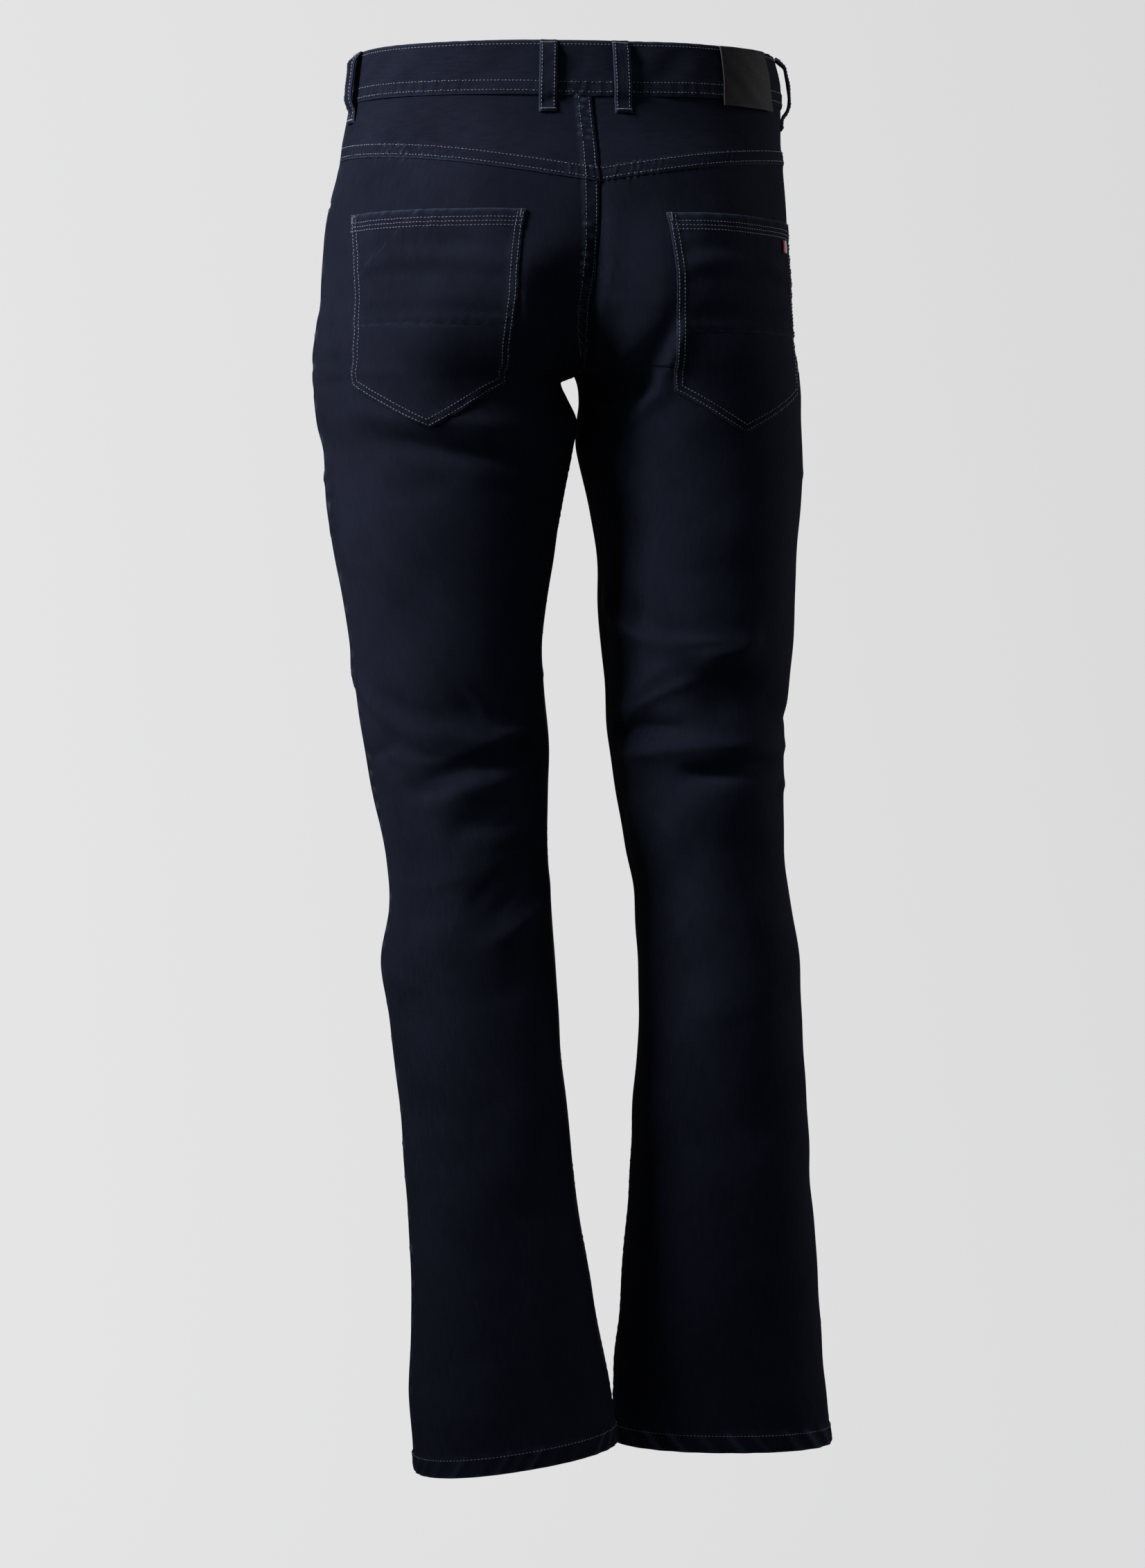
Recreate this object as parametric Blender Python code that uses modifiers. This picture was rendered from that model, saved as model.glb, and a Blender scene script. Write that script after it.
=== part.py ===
"""Straight-leg jeans, filled out as worn, with an open waist and open hems.

Metres, +Z up, and the front faces -Y, so the wearer's left is +X. The origin is the middle
of the waist opening, level with the waistband's top edge at the sides.

Every piece of cloth is read off one smooth surface. A place on it is given by the leg's side
(LEFT or RIGHT), the face (BACK or FRONT), how far it is below the waist, and how far across
it is from the side seam, both in millimetres. Pieces are grids of such places, given a wall
by Solidify, and what lies on a panel is the same places moved out.
"""

import math
from functools import lru_cache

import bpy
import numpy as np
from mathutils import Vector

MM = 0.001
LEFT, RIGHT = 1, -1
BACK, FRONT = 1, -1

# Cloth and seams, in mm.
CLOTH = 1.6
SEAM_GAP = 0.3
SEAM_PROUD = 0.8
SEAM_BAND = 12.0
SEAM_FADE = 20.0
SEAM_FLAT = 14.0
HEM_TURN = 14.0

# Heights below the waistband's top edge, in mm. The band narrows from back to sides.
BAND_CENTRE = 42.0
BAND_SIDE = 38.0
CROTCH = 238.0
LENGTHS = {LEFT: 1041.0, RIGHT: 1039.5}

# How round or square the rings are: 2 is an ellipse, more is fuller at the corners.
FULLNESS = 2.2
FRONT_DROP = 15.0
HEEL_DROP = 4.0
HEEL_FROM = 700.0
HEEL_RUN = 300.0
SIDE_RISE = -1.3
ARC_STEPS = 72

# The seat, a row for each section: how far down it is, the middle seam's x, the half widths
# to the left and right side seams, the y of the fullest back and front, and how far the two
# halves have parted, from 0 where they are one ring to 1 where they are two.
SEAT_COLUMNS = ("down", "mid", "left", "right", "back", "front", "parted")
SEAT = (
    (0, 0.0, 158, 158, 100, -106, 0.00),
    (22, -0.5, 161, 162, 103, -108, 0.02),
    (44, -1.0, 164, 162, 107, -110, 0.04),
    (66, -2.3, 170, 160, 112, -112, 0.08),
    (86, -3.4, 174, 160, 118, -113, 0.14),
    (128, -3.7, 184, 162, 126, -114, 0.30),
    (170, -1.2, 185, 165, 131, -112, 0.46),
    (190, 0.8, 184, 167, 130, -109, 0.580),
    (200, 0.8, 186, 168, 128, -107, 0.645),
    (212, -0.8, 189, 167, 126, -105, 0.745),
    (224, -3.8, 194, 166, 123, -101, 0.870),
    (230, -5.5, 196, 166, 121, -99, 0.933),
    (234, -6.8, 197, 165, 120, -98, 0.975),
    (238, -8.0, 199, 165, 118, -96, 1.00),
)

# The legs, a row for each section: how far down it is, the x of the side seam and of the
# inner leg, the y of the fullest back and front, and how much lower the side seam lies than
# the inner leg on a section square to the leg.
LEG_COLUMNS = ("down", "outer", "inner", "back", "front", "tilt")
LEFT_LEG = (
    (224, 192, -12, 123, -101, 0),
    (238, 191, -8, 118, -96, 0),
    (241, 191, -3, 117, -96, 0),
    (244, 191, 5.5, 116, -95, 0),
    (250, 190, 5.0, 114, -95, 1),
    (256, 190, 2, 113, -94, 1),
    (275, 187, -6, 109, -92, 2),
    (296, 181, -3, 106, -90, 3),
    (340, 179, 5, 100, -85, 4),
    (400, 169, 16, 93, -79, 6),
    (450, 159, 20, 89, -75, 8),
    (505, 153, 16, 86, -72, 9),
    (550, 145, 16, 84, -72, 10),
    (600, 135, 15, 84, -71, 12),
    (632, 133, 14, 85, -69, 13),
    (672, 139, 13, 87, -61, 14),
    (715, 134, 11, 90, -51, 15),
    (775, 128, 7, 93, -42, 17),
    (850, 122, -1, 97, -34, 20),
    (930, 121, -12, 101, -25, 23),
    (1000, 122, -25, 105, -17, 22),
    (1041, 120, -30, 108, -12, 22),
)
RIGHT_LEG = (
    (224, -172, 4, 123, -101, 0),
    (238, -173, -8, 118, -96, 0),
    (256, -176, -12, 113, -95, 0),
    (275, -177, -10, 109, -93, 0),
    (293, -177, -10, 105, -92, 0),
    (340, -176, -21, 97, -89, 0),
    (382, -173, -27, 90, -88, 0),
    (425, -173, -28, 84, -87, 0),
    (465, -171, -33, 79, -86, 0),
    (507, -166, -35, 76, -84, 0),
    (549, -166, -41, 72, -84, 0),
    (591, -167, -50, 70, -84, 0),
    (625, -171, -57, 69, -83, 0),
    (665, -177, -58, 67, -78, 0),
    (720, -180, -59, 64, -73, 0),
    (780, -184, -55, 61, -70, 0),
    (860, -189, -50, 58, -67, 1),
    (950, -196, -43, 54, -66, 2),
    (1004, -201, -39, 51, -66, 3),
    (1041, -205, -37, 50, -66, 3),
)

# The yoke seam, in mm below the waist: at the side seam and at the centre back.
YOKE_SIDE = 75.0
YOKE_CENTRE = 105.0
YOKE_BEND = 1.5
YOKE_BAND = 10.5

# The front: the lap of the closed fly, and the scooped pocket mouth.
FLY_LAP = 12.0
FLY_LENGTH = 172.0
FLY_CLOSED = 24.0
FLY_STEEP = 1.2
LAP_LIFT = CLOTH + 0.5
LAP_RAMP = 34.0
SCOOP_WIDTH = 100.0
SCOOP_DEPTH = 78.0
SCOOP_BEND = 1.7
FACING_UNDER = 14.0
FACING_DIP = 26.0
FACING_RUN = 20.0
FACING_TUCK = 8.0
FACING_SHARES = (0, 0.03, 0.2, 0.4, 0.6, 0.68, 0.74, 0.8, 0.9, 1)
FACING_ROWS = 8
FACING_DEEP = CLOTH + 2.6

# The waistband, in mm. Its right end lies under its left one at the front.
BAND_THICK = 2.8
BAND_PROUD = 1.2
BAND_LIFT = 1.0
BAND_EDGE = 0.4
UNDERLAP = 24.0
BAND_COLUMNS = 14
BAND_ROWS = (0, 0.05, 0.5, 0.95, 1)
LAP_CLEAR = 0.5

# The back pockets, a row for each edge across: how far down, and how far from the side seam
# the outer and inner corners are. The tip below the last row is given apart.
POCKET_COLUMNS = ("down", "outer", "inner")
POCKETS = {
    LEFT: ((127, 56, 198), (211, 74, 198), (253, 72, 194)),
    RIGHT: ((128, 46, 184), (214, 60, 181), (256, 66, 181)),
}
POCKET_TIPS = {LEFT: (285, 127), RIGHT: (287, 124)}
POCKET_OFF = 1.05
POCKET_THICK = 1.4
POCKET_ACROSS = 8
POCKET_DOWN = 4

# The belt loops, a row for each: the face, the seam it is measured from, how far from that
# seam its middle is on the left and on the right, and how far it stands off the band.
LOOP_ROWS = (
    ("back", BACK, "inner", 33, 23, 2.6),
    ("side", BACK, "outer", 19, 19, 4.4),
    ("front", FRONT, "inner", 104, 104, 3.0),
)
LOOP_WIDTH = 13.0
LOOP_THICK = 2.0
LOOP_OFF = 0.5
LOOP_TOP = 1.5
LOOP_FOOT = 54.0
LOOP_TACK = 6.0
LOOP_RISE = 9.0
LOOP_FALL = 14.0
LOOP_STEPS = 9

# The patch on the waistband, the woven tab on the right pocket, and the waist button.
PATCH_ACROSS = (60, 112)
PATCH_DOWN = (0.5, 45.5)
PATCH_THICK = 1.6
TAB_ACROSS = (51, 61)
TAB_DOWN = (143, 152)
TAB_THICK = 1.0
BUTTON_RADIUS = 8.5
BUTTON_HEIGHT = 4.6
BUTTON_DOWN = 21.0
BUTTON_STEPS = 20

# Half the button's section: shares of its radius, and how far below its top, in mm.
BUTTON_PROFILE = (
    (0, 1.2),
    (0.55, 1.0),
    (0.68, 0),
    (0.9, 0.2),
    (1, 1.4),
    (0.9, 2.4),
    (0.4, 2.8),
    (0.35, BUTTON_HEIGHT),
    (0, BUTTON_HEIGHT),
)

# The largest folds of the cloth, a row for each: where it starts and ends, across from the
# side seam and down from the waist, how far its middle bows down, half its width, and its
# height, which is less than 0 for a trough. Folds fade out beside the seams.
FOLD_FADE = 14.0
FOLD_ENDS = 0.7
FOLDS = {
    (LEFT, BACK): (
        (40, 268, 232, 284, 4, 12, 4.5),
        (50, 290, 245, 299, 6, 9, -5.0),
        (120, 238, 300, 262, 14, 26, -5.0),
        (20, 474, 150, 512, 14, 9, 4.0),
        (30, 463, 128, 496, 12, 9, -3.0),
        (100, 464, 200, 500, 20, 10, -3.5),
        (96, 536, 200, 506, 4, 9, -6.0),
        (104, 520, 190, 498, 4, 9, 3.5),
        (40, 548, 122, 528, 4, 8, -4.0),
        (70, 560, 160, 540, -4, 12, 4.0),
        (80, 588, 150, 562, -6, 10, -4.0),
        (96, 652, 196, 584, 6, 14, -5.0),
        (96, 668, 196, 608, 8, 12, 4.0),
        (4, 676, 70, 690, 0, 14, 2.5),
        (10, 640, 90, 636, 0, 10, -1.5),
    ),
    (RIGHT, BACK): (
        (288, 236, 194, 232, 26, 10, -6.0),
        (280, 218, 196, 208, 18, 14, 4.5),
        (252, 396, 136, 452, 6, 9, 5.0),
        (206, 400, 138, 440, 8, 9, -3.5),
        (150, 448, 84, 430, 8, 9, 5.0),
        (150, 474, 40, 482, 4, 17, -6.0),
        (142, 448, 200, 512, -10, 12, 3.5),
        (232, 514, 112, 512, -12, 8, -4.0),
        (232, 528, 40, 516, -4, 9, 5.0),
        (156, 538, 34, 524, 2, 8, -6.5),
        (210, 546, 130, 600, -8, 18, 4.0),
        (100, 560, 60, 640, 6, 18, -3.0),
    ),
    (LEFT, FRONT): (
        (30, 176, 196, 214, 14, 12, -3.0),
        (24, 200, 190, 236, 12, 12, 3.0),
        (30, 470, 190, 484, 14, 12, -3.5),
        (36, 500, 200, 512, 12, 12, 3.5),
        (20, 560, 150, 590, 10, 14, -3.0),
        (40, 640, 180, 620, 10, 14, 3.0),
        (60, 700, 190, 680, 8, 14, -3.0),
    ),
    (RIGHT, FRONT): (
        (30, 180, 190, 216, 16, 12, -3.0),
        (24, 206, 184, 238, 12, 12, 3.0),
        (40, 480, 196, 476, 14, 12, 3.5),
        (30, 506, 186, 502, 12, 12, -3.5),
        (50, 590, 190, 570, 10, 14, 3.0),
        (30, 632, 160, 650, 8, 14, -3.0),
        (40, 706, 170, 690, 8, 14, 3.0),
    ),
}

# The rows of a leg panel below the crotch: from, to, and how many.
LEG_ROWS = ((238, 310, 6), (310, 430, 5), (430, 598, 12), (598, 700, 5), (700, 1026, 8))
SEAT_ROWS = {BACK: 10, FRONT: 13}
PANEL_COLUMNS = {BACK: 10, FRONT: 9}
EDGE_STRIP = 2.5

DENIM = (0.016, 0.020, 0.036)
DENIM_INSIDE = (0.020, 0.025, 0.043)
LEATHERETTE = (0.011, 0.010, 0.012)
WOVEN_TAB = (0.45, 0.42, 0.44)
BUTTON_METAL = (0.22, 0.20, 0.18)


class Curve:
    """A smooth curve through the values in one column of a table of sections."""

    def __init__(self, table, columns, name):
        which = columns.index(name)
        self.down = [float(row[0]) for row in table]
        self.value = [float(row[which]) for row in table]
        last = len(table) - 1
        self.slope = []
        for i in range(len(table)):
            before, after = max(i - 1, 0), min(i + 1, last)
            rise = self.value[after] - self.value[before]
            self.slope.append(rise / (self.down[after] - self.down[before]))

    def __call__(self, down):
        down = min(max(down, self.down[0]), self.down[-1])
        i = 0
        while i < len(self.down) - 2 and down > self.down[i + 1]:
            i += 1
        step = self.down[i + 1] - self.down[i]
        t = (down - self.down[i]) / step
        start = (2 * t**3 - 3 * t**2 + 1) * self.value[i]
        leave = (t**3 - 2 * t**2 + t) * step * self.slope[i]
        end = (3 * t**2 - 2 * t**3) * self.value[i + 1]
        arrive = (t**3 - t**2) * step * self.slope[i + 1]
        return start + leave + end + arrive


def curves(table, columns):
    return {name: Curve(table, columns, name) for name in columns[1:]}


SEAT_CURVES = curves(SEAT, SEAT_COLUMNS)
LEG_CURVES = {LEFT: curves(LEFT_LEG, LEG_COLUMNS), RIGHT: curves(RIGHT_LEG, LEG_COLUMNS)}
POCKET_CURVES = {side: curves(rows, POCKET_COLUMNS) for side, rows in POCKETS.items()}


def ease(t):
    """0 before 0, 1 after 1, and a smooth rise between."""
    t = min(max(t, 0.0), 1.0)
    return t * t * (3 - 2 * t)


def blend(start, end, share):
    return start + (end - start) * share


def ring(side, down):
    """One half's ring: its middle x and y, half width, back, front, and parted share."""
    if down < CROTCH:
        parted = min(max(SEAT_CURVES["parted"](down), 0.0), 1.0)
        half = SEAT_CURVES["left" if side == LEFT else "right"](down) / (1 + parted)
        middle_x = SEAT_CURVES["mid"](down) + side * parted * half
        back = SEAT_CURVES["back"](down)
        front = SEAT_CURVES["front"](down)
    else:
        parted = 1.0
        leg = LEG_CURVES[side]
        half = side * (leg["outer"](down) - leg["inner"](down)) / 2
        middle_x = (leg["outer"](down) + leg["inner"](down)) / 2
        back = leg["back"](down)
        front = leg["front"](down)
    middle_x += side * SEAM_GAP / 2
    return middle_x, (back + front) / 2, half, back, front, parted


@lru_cache(maxsize=None)
def arc(side, face, down):
    """The ring from the side seam round to the inner edge, and the length along it."""
    middle_x, middle_y, half, back, front, parted = ring(side, down)
    end = math.pi - math.acos(parted ** (FULLNESS / 2))
    turn = np.linspace(0, end, ARC_STEPS)
    power = 2 / FULLNESS
    cosine = np.cos(turn)
    x = middle_x + side * half * np.sign(cosine) * np.abs(cosine) ** power
    reach = (back if face == BACK else front) - middle_y
    y = middle_y + reach * np.abs(np.sin(turn)) ** power
    length = np.concatenate([[0], np.cumsum(np.hypot(np.diff(x), np.diff(y)))])
    return x, y, length


def arc_length(side, face, down):
    return float(arc(side, face, down)[2][-1])


def level(side, down, x, y):
    """The height of a place: the waist drops at the front and the hems tilt."""
    middle_x, middle_y, half, back, front, _ = ring(side, down)
    forward = max(0.0, (middle_y - y) / (middle_y - front))
    hung = max(0.0, 1 - down / CROTCH)
    height = -down - FRONT_DROP * forward**2 * hung + SIDE_RISE * hung * x / SEAT[0][2]
    if down > CROTCH:
        tilt = LEG_CURVES[side]["tilt"](down)
        height -= tilt / 2 * side * (x - middle_x) / half
        lowered = HEEL_DROP * ease((down - HEEL_FROM) / HEEL_RUN)
        height -= lowered * (y - middle_y) / (back - middle_y)
    return height


def bare(side, face, across, down):
    """A place on the smooth surface. Past a seam it runs on round the garment."""
    if across < 0:
        face, across = -face, -across
    x, y, length = arc(side, face, down)
    over = across - length[-1]
    if over > 0 and down < FLY_LENGTH + 2:
        x, y, length = arc(-side, face, down)
        across = length[-1] - over
    px = float(np.interp(across, length, x))
    py = float(np.interp(across, length, y))
    return Vector((px, py, level(side, down, px, py)))


def outward(side, face, across, down):
    """The direction straight out of the cloth."""
    aside = bare(side, face, across + 1.5, down) - bare(side, face, max(across - 1.5, 0), down)
    below = bare(side, face, across, down + 2) - bare(side, face, across, max(down - 2, 0))
    return (below.cross(aside) * side * face).normalized()


def folds(side, face, across, down):
    """How far the folds move the cloth out, which fades out towards the seams' ends."""
    total = 0.0
    for start, start_down, end, end_down, bow, width, height in FOLDS[side, face]:
        run, fall = end - start, end_down - start_down
        reach = math.hypot(run, fall)
        along = ((across - start) * run + (down - start_down) * fall) / reach**2
        if not 0 < along < 1:
            continue
        apart = ((down - start_down) * run - (across - start) * fall) / reach
        apart = apart * (1 if run > 0 else -1) - bow * 4 * along * (1 - along)
        swell = math.sin(math.pi * along) ** FOLD_ENDS
        total += height * swell * math.exp(-((apart / width) ** 2))
    edge = min(across, arc_length(side, face, down) - across)
    return total * ease(edge / FOLD_FADE)


def raised(side, face, across, down):
    """How far felled seams, hems and the fly's lap stand proud."""
    proud = 0.0
    inner = arc_length(side, face, down) - across
    if face == BACK and inner < SEAM_BAND:
        seat = ease((CROTCH - SEAM_FLAT - down) / SEAM_FADE) if side == LEFT else 0.0
        inseam = ease((down - CROTCH) / SEAM_BAND)
        proud += SEAM_PROUD * (seat + inseam) * ease(SEAM_BAND - inner)
    if down > LENGTHS[side] - HEM_TURN:
        proud = SEAM_PROUD
    if (side, face) == (LEFT, FRONT) and down < FLY_LENGTH:
        beside = ease((LAP_RAMP - inner) / LAP_RAMP)
        proud += LAP_LIFT * beside * ease((FLY_LENGTH - down) / FLY_CLOSED * FLY_STEEP)
    return proud


def place(side, face, across, down, out=0.0):
    """A place on the cloth, in metres, moved out by some mm."""
    out += folds(side, face, across, down) + raised(side, face, across, down)
    return (bare(side, face, across, down) + outward(side, face, across, down) * out) * MM


def band_line(face, share):
    """The waistband's lower edge, for a share across from the side seam."""
    return blend(BAND_SIDE, BAND_CENTRE, share) if face == BACK else BAND_SIDE


def yoke_line(share):
    return blend(YOKE_SIDE, YOKE_CENTRE, share**YOKE_BEND)


def scoop(down):
    """How far across the pocket mouth's edge is from the side seam."""
    share = min(max(down - BAND_SIDE, 0.0) / SCOOP_DEPTH, 1.0)
    return SCOOP_WIDTH * (1 - share**SCOOP_BEND) ** (1 / SCOOP_BEND)


def lap(side, face, down):
    """How far the closed fly's edge runs past the middle of the front."""
    if (side, face) != (LEFT, FRONT) or down >= FLY_LENGTH - FLY_CLOSED:
        return 0.0
    return FLY_LAP * (1 - (down / (FLY_LENGTH - FLY_CLOSED)) ** 3)


def material(name, colour, roughness, metallic=0.0):
    made = bpy.data.materials.new(name)
    made.use_nodes = True
    shader = made.node_tree.nodes["Principled BSDF"]
    shader.inputs["Base Color"].default_value = (*colour, 1)
    shader.inputs["Roughness"].default_value = roughness
    shader.inputs["Metallic"].default_value = metallic
    return made


def sheet(name, rows, thick, colour, roughness=0.9, over=False, turned=False):
    """A piece of cloth: a grid of places, with its wall inside them, or outside if over."""
    columns = len(rows[0])
    faces = []
    for i in range(len(rows) - 1):
        for j in range(columns - 1):
            corner = i * columns + j
            face = (corner, corner + 1, corner + columns + 1, corner + columns)
            faces.append(face[::-1] if turned else face)
    mesh = bpy.data.meshes.new(name)
    mesh.from_pydata([point for row in rows for point in row], [], faces)
    mesh.shade_smooth()
    mesh.materials.append(material(name, colour, roughness))
    piece = bpy.data.objects.new(name, mesh)
    PARTS.objects.link(piece)
    wall = piece.modifiers.new("wall", "SOLIDIFY")
    wall.thickness = thick * MM
    wall.offset = 1 if over else -1
    return piece


def row_shares(face, span):
    """Shares across a row: close beside the seams, even between, and a felled seam's edge."""
    band = SEAM_BAND if face == BACK else 0.0
    even = span - (band + 1 if band else 2 * EDGE_STRIP)
    shares = [0, EDGE_STRIP / span]
    count = PANEL_COLUMNS[face]
    shares += [even * (j + 1) / count / span for j in range(count)]
    shares += [(span - band) / span] if band else []
    return shares + [(span - EDGE_STRIP) / span, 1]


def panel_row(side, face, down_at, start=0.0, out=0.0):
    """One row of places across a leg panel, where down_at gives each share's depth."""
    places = []
    for j in range(len(row_shares(face, 1.0))):
        share = 0.5
        for _ in range(4):
            down = down_at(share)
            length = arc_length(side, face, down) + lap(side, face, down) - SEAM_GAP
            share = row_shares(face, length - start)[j]
        across = SEAM_GAP / 2 + start + share * (length - start)
        places.append(place(side, face, across, down, out))
    return places


def leg_panel(name, side, face):
    """A back or front, from the yoke seam or the waistband down to the hem."""
    top_side = YOKE_SIDE if face == BACK else BAND_SIDE + SEAM_GAP
    top_inner = YOKE_CENTRE if face == BACK else BAND_SIDE + SEAM_GAP
    rows = []
    for i in range(SEAT_ROWS[face]):
        lowered = i / SEAT_ROWS[face]
        at_side = blend(top_side, CROTCH, lowered)
        at_inner = blend(CROTCH, top_inner, (1 - lowered) ** 2)
        mouth = face == FRONT and at_side < BAND_SIDE + SCOOP_DEPTH
        rows.append(
            panel_row(
                side,
                face,
                lambda share: blend(at_side, at_inner, share**YOKE_BEND),
                scoop(at_side) if mouth else 0.0,
            )
        )
    downs = [blend(top, end, i / count) for top, end, count in LEG_ROWS for i in range(count)]
    end = LENGTHS[side]
    turn = end - HEM_TURN
    for down in (*downs, turn - 1, turn + 0.5, end - 5, end):
        rows.append(panel_row(side, face, lambda share: down))
    return sheet(name, rows, CLOTH, DENIM, turned=side * face == 1)


def yoke(name, side):
    """The yoke, whose lower edge is folded and stands proud of the back panel."""

    def top(share):
        return band_line(BACK, share) + SEAM_GAP

    def seam(share):
        return yoke_line(share) - SEAM_GAP

    rows = [
        panel_row(side, BACK, top),
        panel_row(side, BACK, lambda share: blend(top(share), seam(share) - YOKE_BAND, 0.5)),
        panel_row(side, BACK, lambda share: seam(share) - YOKE_BAND - 1),
        panel_row(side, BACK, lambda share: seam(share) - YOKE_BAND, out=SEAM_PROUD),
        panel_row(side, BACK, seam, out=SEAM_PROUD),
    ]
    return sheet(name, rows, CLOTH, DENIM, turned=side == LEFT)


def pocket_facing(name, side):
    """The cloth behind the scooped pocket mouth, tucked under the front panel and band."""
    rows = []
    top = BAND_SIDE + SEAM_GAP
    bottom = BAND_SIDE + SCOOP_DEPTH + FACING_UNDER
    for i in range(FACING_ROWS):
        down = blend(top, bottom, i / (FACING_ROWS - 1))
        mouth = scoop(down)
        row = []
        for share in FACING_SHARES:
            across = SEAM_GAP / 2 + (mouth + FACING_UNDER) * share
            under = ease((across - mouth + FACING_DIP) / FACING_RUN)
            tuck = FACING_TUCK * ease(3 * under - 2) if down == top else 0.0
            row.append(place(side, FRONT, across, down - tuck, -FACING_DEEP * under))
        rows.append(row)
    return sheet(name, rows, CLOTH, DENIM_INSIDE, turned=side == RIGHT)


def waistband(name):
    """One doubled strip round the waist, its left end lapped over its right one."""
    lap_left = [(LEFT, FRONT, 1, FLY_LAP * i / 2) for i in (1, 2)]
    lap_right = [(RIGHT, FRONT, 1, UNDERLAP * i / 3) for i in (3, 2, 1)]
    quarter = [i / BAND_COLUMNS for i in range(BAND_COLUMNS)]
    round_it = [(RIGHT, FRONT, 1 - share, 0) for share in quarter]
    round_it += [(RIGHT, BACK, share, 0) for share in quarter]
    round_it += [(LEFT, BACK, 1 - share, 0) for share in quarter]
    round_it += [(LEFT, FRONT, share, 0) for share in (*quarter, 1)]
    rows = []
    for lowered in BAND_ROWS:
        row = []
        for side, face, share, past in lap_right + round_it + lap_left:
            down = lowered * band_line(face, share)
            length = arc_length(side, face, down)
            across = length * share + past
            near = ease((across - length + LAP_RAMP) / (LAP_RAMP - FLY_LAP))
            out = BAND_PROUD
            if face == FRONT:
                under = BAND_LIFT - BAND_THICK - LAP_CLEAR
                out += near * (BAND_LIFT if side == LEFT else under)
            out -= BAND_EDGE if lowered in (0, 1) else 0.0
            lift = raised(side, face, across, down)
            row.append(place(side, face, across, down, out - lift))
        rows.append(row)
    return sheet(name, rows, BAND_THICK, DENIM)


def pocket_place(side, across_share, down_share, top, bottom):
    """A place on a back pocket's outer side, between two of the heights along its edges."""
    tip_down, tip_across = POCKET_TIPS[side]
    corner_down = POCKETS[side][-1][0]
    down = blend(top, bottom, down_share)
    outer = POCKET_CURVES[side]["outer"](down)
    inner = POCKET_CURVES[side]["inner"](down)
    across = blend(outer, inner, across_share)
    if bottom == corner_down:
        corner_outer = POCKET_CURVES[side]["outer"](corner_down)
        corner_inner = POCKET_CURVES[side]["inner"](corner_down)
        tip_share = (tip_across - corner_outer) / (corner_inner - corner_outer)
        if across_share < tip_share:
            point = across_share / tip_share
        else:
            point = (1 - across_share) / (1 - tip_share)
        down += (tip_down - corner_down) * point * down_share
    return place(side, BACK, across, down, POCKET_OFF)


def back_pocket(name, side, top, bottom, steps):
    """One piece of a patch pocket, which lies on the back panel."""
    rows = []
    for i in range(steps + 1):
        rows.append(
            [
                pocket_place(side, j / POCKET_ACROSS, i / steps, top, bottom)
                for j in range(POCKET_ACROSS + 1)
            ]
        )
    return sheet(name, rows, POCKET_THICK, DENIM, over=True, turned=side == LEFT)


def belt_loop(name, side, face, seam, distance, stand_off):
    """A folded strip, tacked to the band's top edge and below the band, and off it between."""
    rows = []
    for i in range(LOOP_STEPS + 1):
        down = blend(LOOP_TOP, LOOP_FOOT, i / LOOP_STEPS)
        middle = arc_length(side, face, down) - distance if seam == "inner" else distance
        free = ease((down - LOOP_TOP) / LOOP_RISE)
        free *= ease((LOOP_FOOT - LOOP_TACK - down) / LOOP_FALL)
        on_band = BAND_PROUD * ease((BAND_CENTRE + LOOP_TACK - down) / LOOP_TACK)
        out = LOOP_OFF + on_band + stand_off * free
        places = []
        for j in range(3):
            across = middle + LOOP_WIDTH * (j / 2 - 0.5)
            under = raised(side, face, across, down) + folds(side, face, across, down)
            proud = max(under, raised(side, face, middle, down))
            places.append(place(side, face, across, down, out + proud - under))
        rows.append(places)
    return sheet(name, rows, LOOP_THICK, DENIM, over=True, turned=side * face == 1)


def lay_on(name, side, face, across_range, down_range, off, thick, colour, roughness):
    """A flat piece that lies on the cloth between two distances across and two down."""
    rows = []
    for i in range(4):
        down = blend(*down_range, i / 3)
        rows.append(
            [place(side, face, blend(*across_range, j / 5), down, off) for j in range(6)]
        )
    turned = side * face == 1
    return sheet(name, rows, thick, colour, roughness, over=True, turned=turned)


def waist_button(name):
    """A domed metal button with a raised rim, turned about its own axis."""
    mesh = bpy.data.meshes.new(name)
    points = [
        (share * BUTTON_RADIUS * MM, 0, (BUTTON_HEIGHT - below) * MM)
        for share, below in BUTTON_PROFILE
    ]
    mesh.from_pydata(points, [(i, i + 1) for i in range(len(points) - 1)], [])
    mesh.materials.append(material(name, BUTTON_METAL, 0.35, 1.0))
    button = bpy.data.objects.new(name, mesh)
    PARTS.objects.link(button)
    turn = button.modifiers.new("turn", "SCREW")
    turn.steps = BUTTON_STEPS
    turn.render_steps = BUTTON_STEPS
    turn.use_merge_vertices = True
    turn.merge_threshold = 0.00005
    across = arc_length(LEFT, FRONT, BUTTON_DOWN)
    off = BAND_PROUD + BAND_LIFT + SEAM_GAP - raised(LEFT, FRONT, across, BUTTON_DOWN)
    button.location = place(LEFT, FRONT, across, BUTTON_DOWN, off)
    facing = outward(LEFT, FRONT, across, BUTTON_DOWN)
    button.rotation_euler = facing.to_track_quat("Z", "Y").to_euler()
    return button


for leftover in list(bpy.data.objects):
    bpy.data.objects.remove(leftover, do_unlink=True)
PARTS = bpy.data.collections.new("straight_leg_jeans")
bpy.context.scene.collection.children.link(PARTS)

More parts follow.
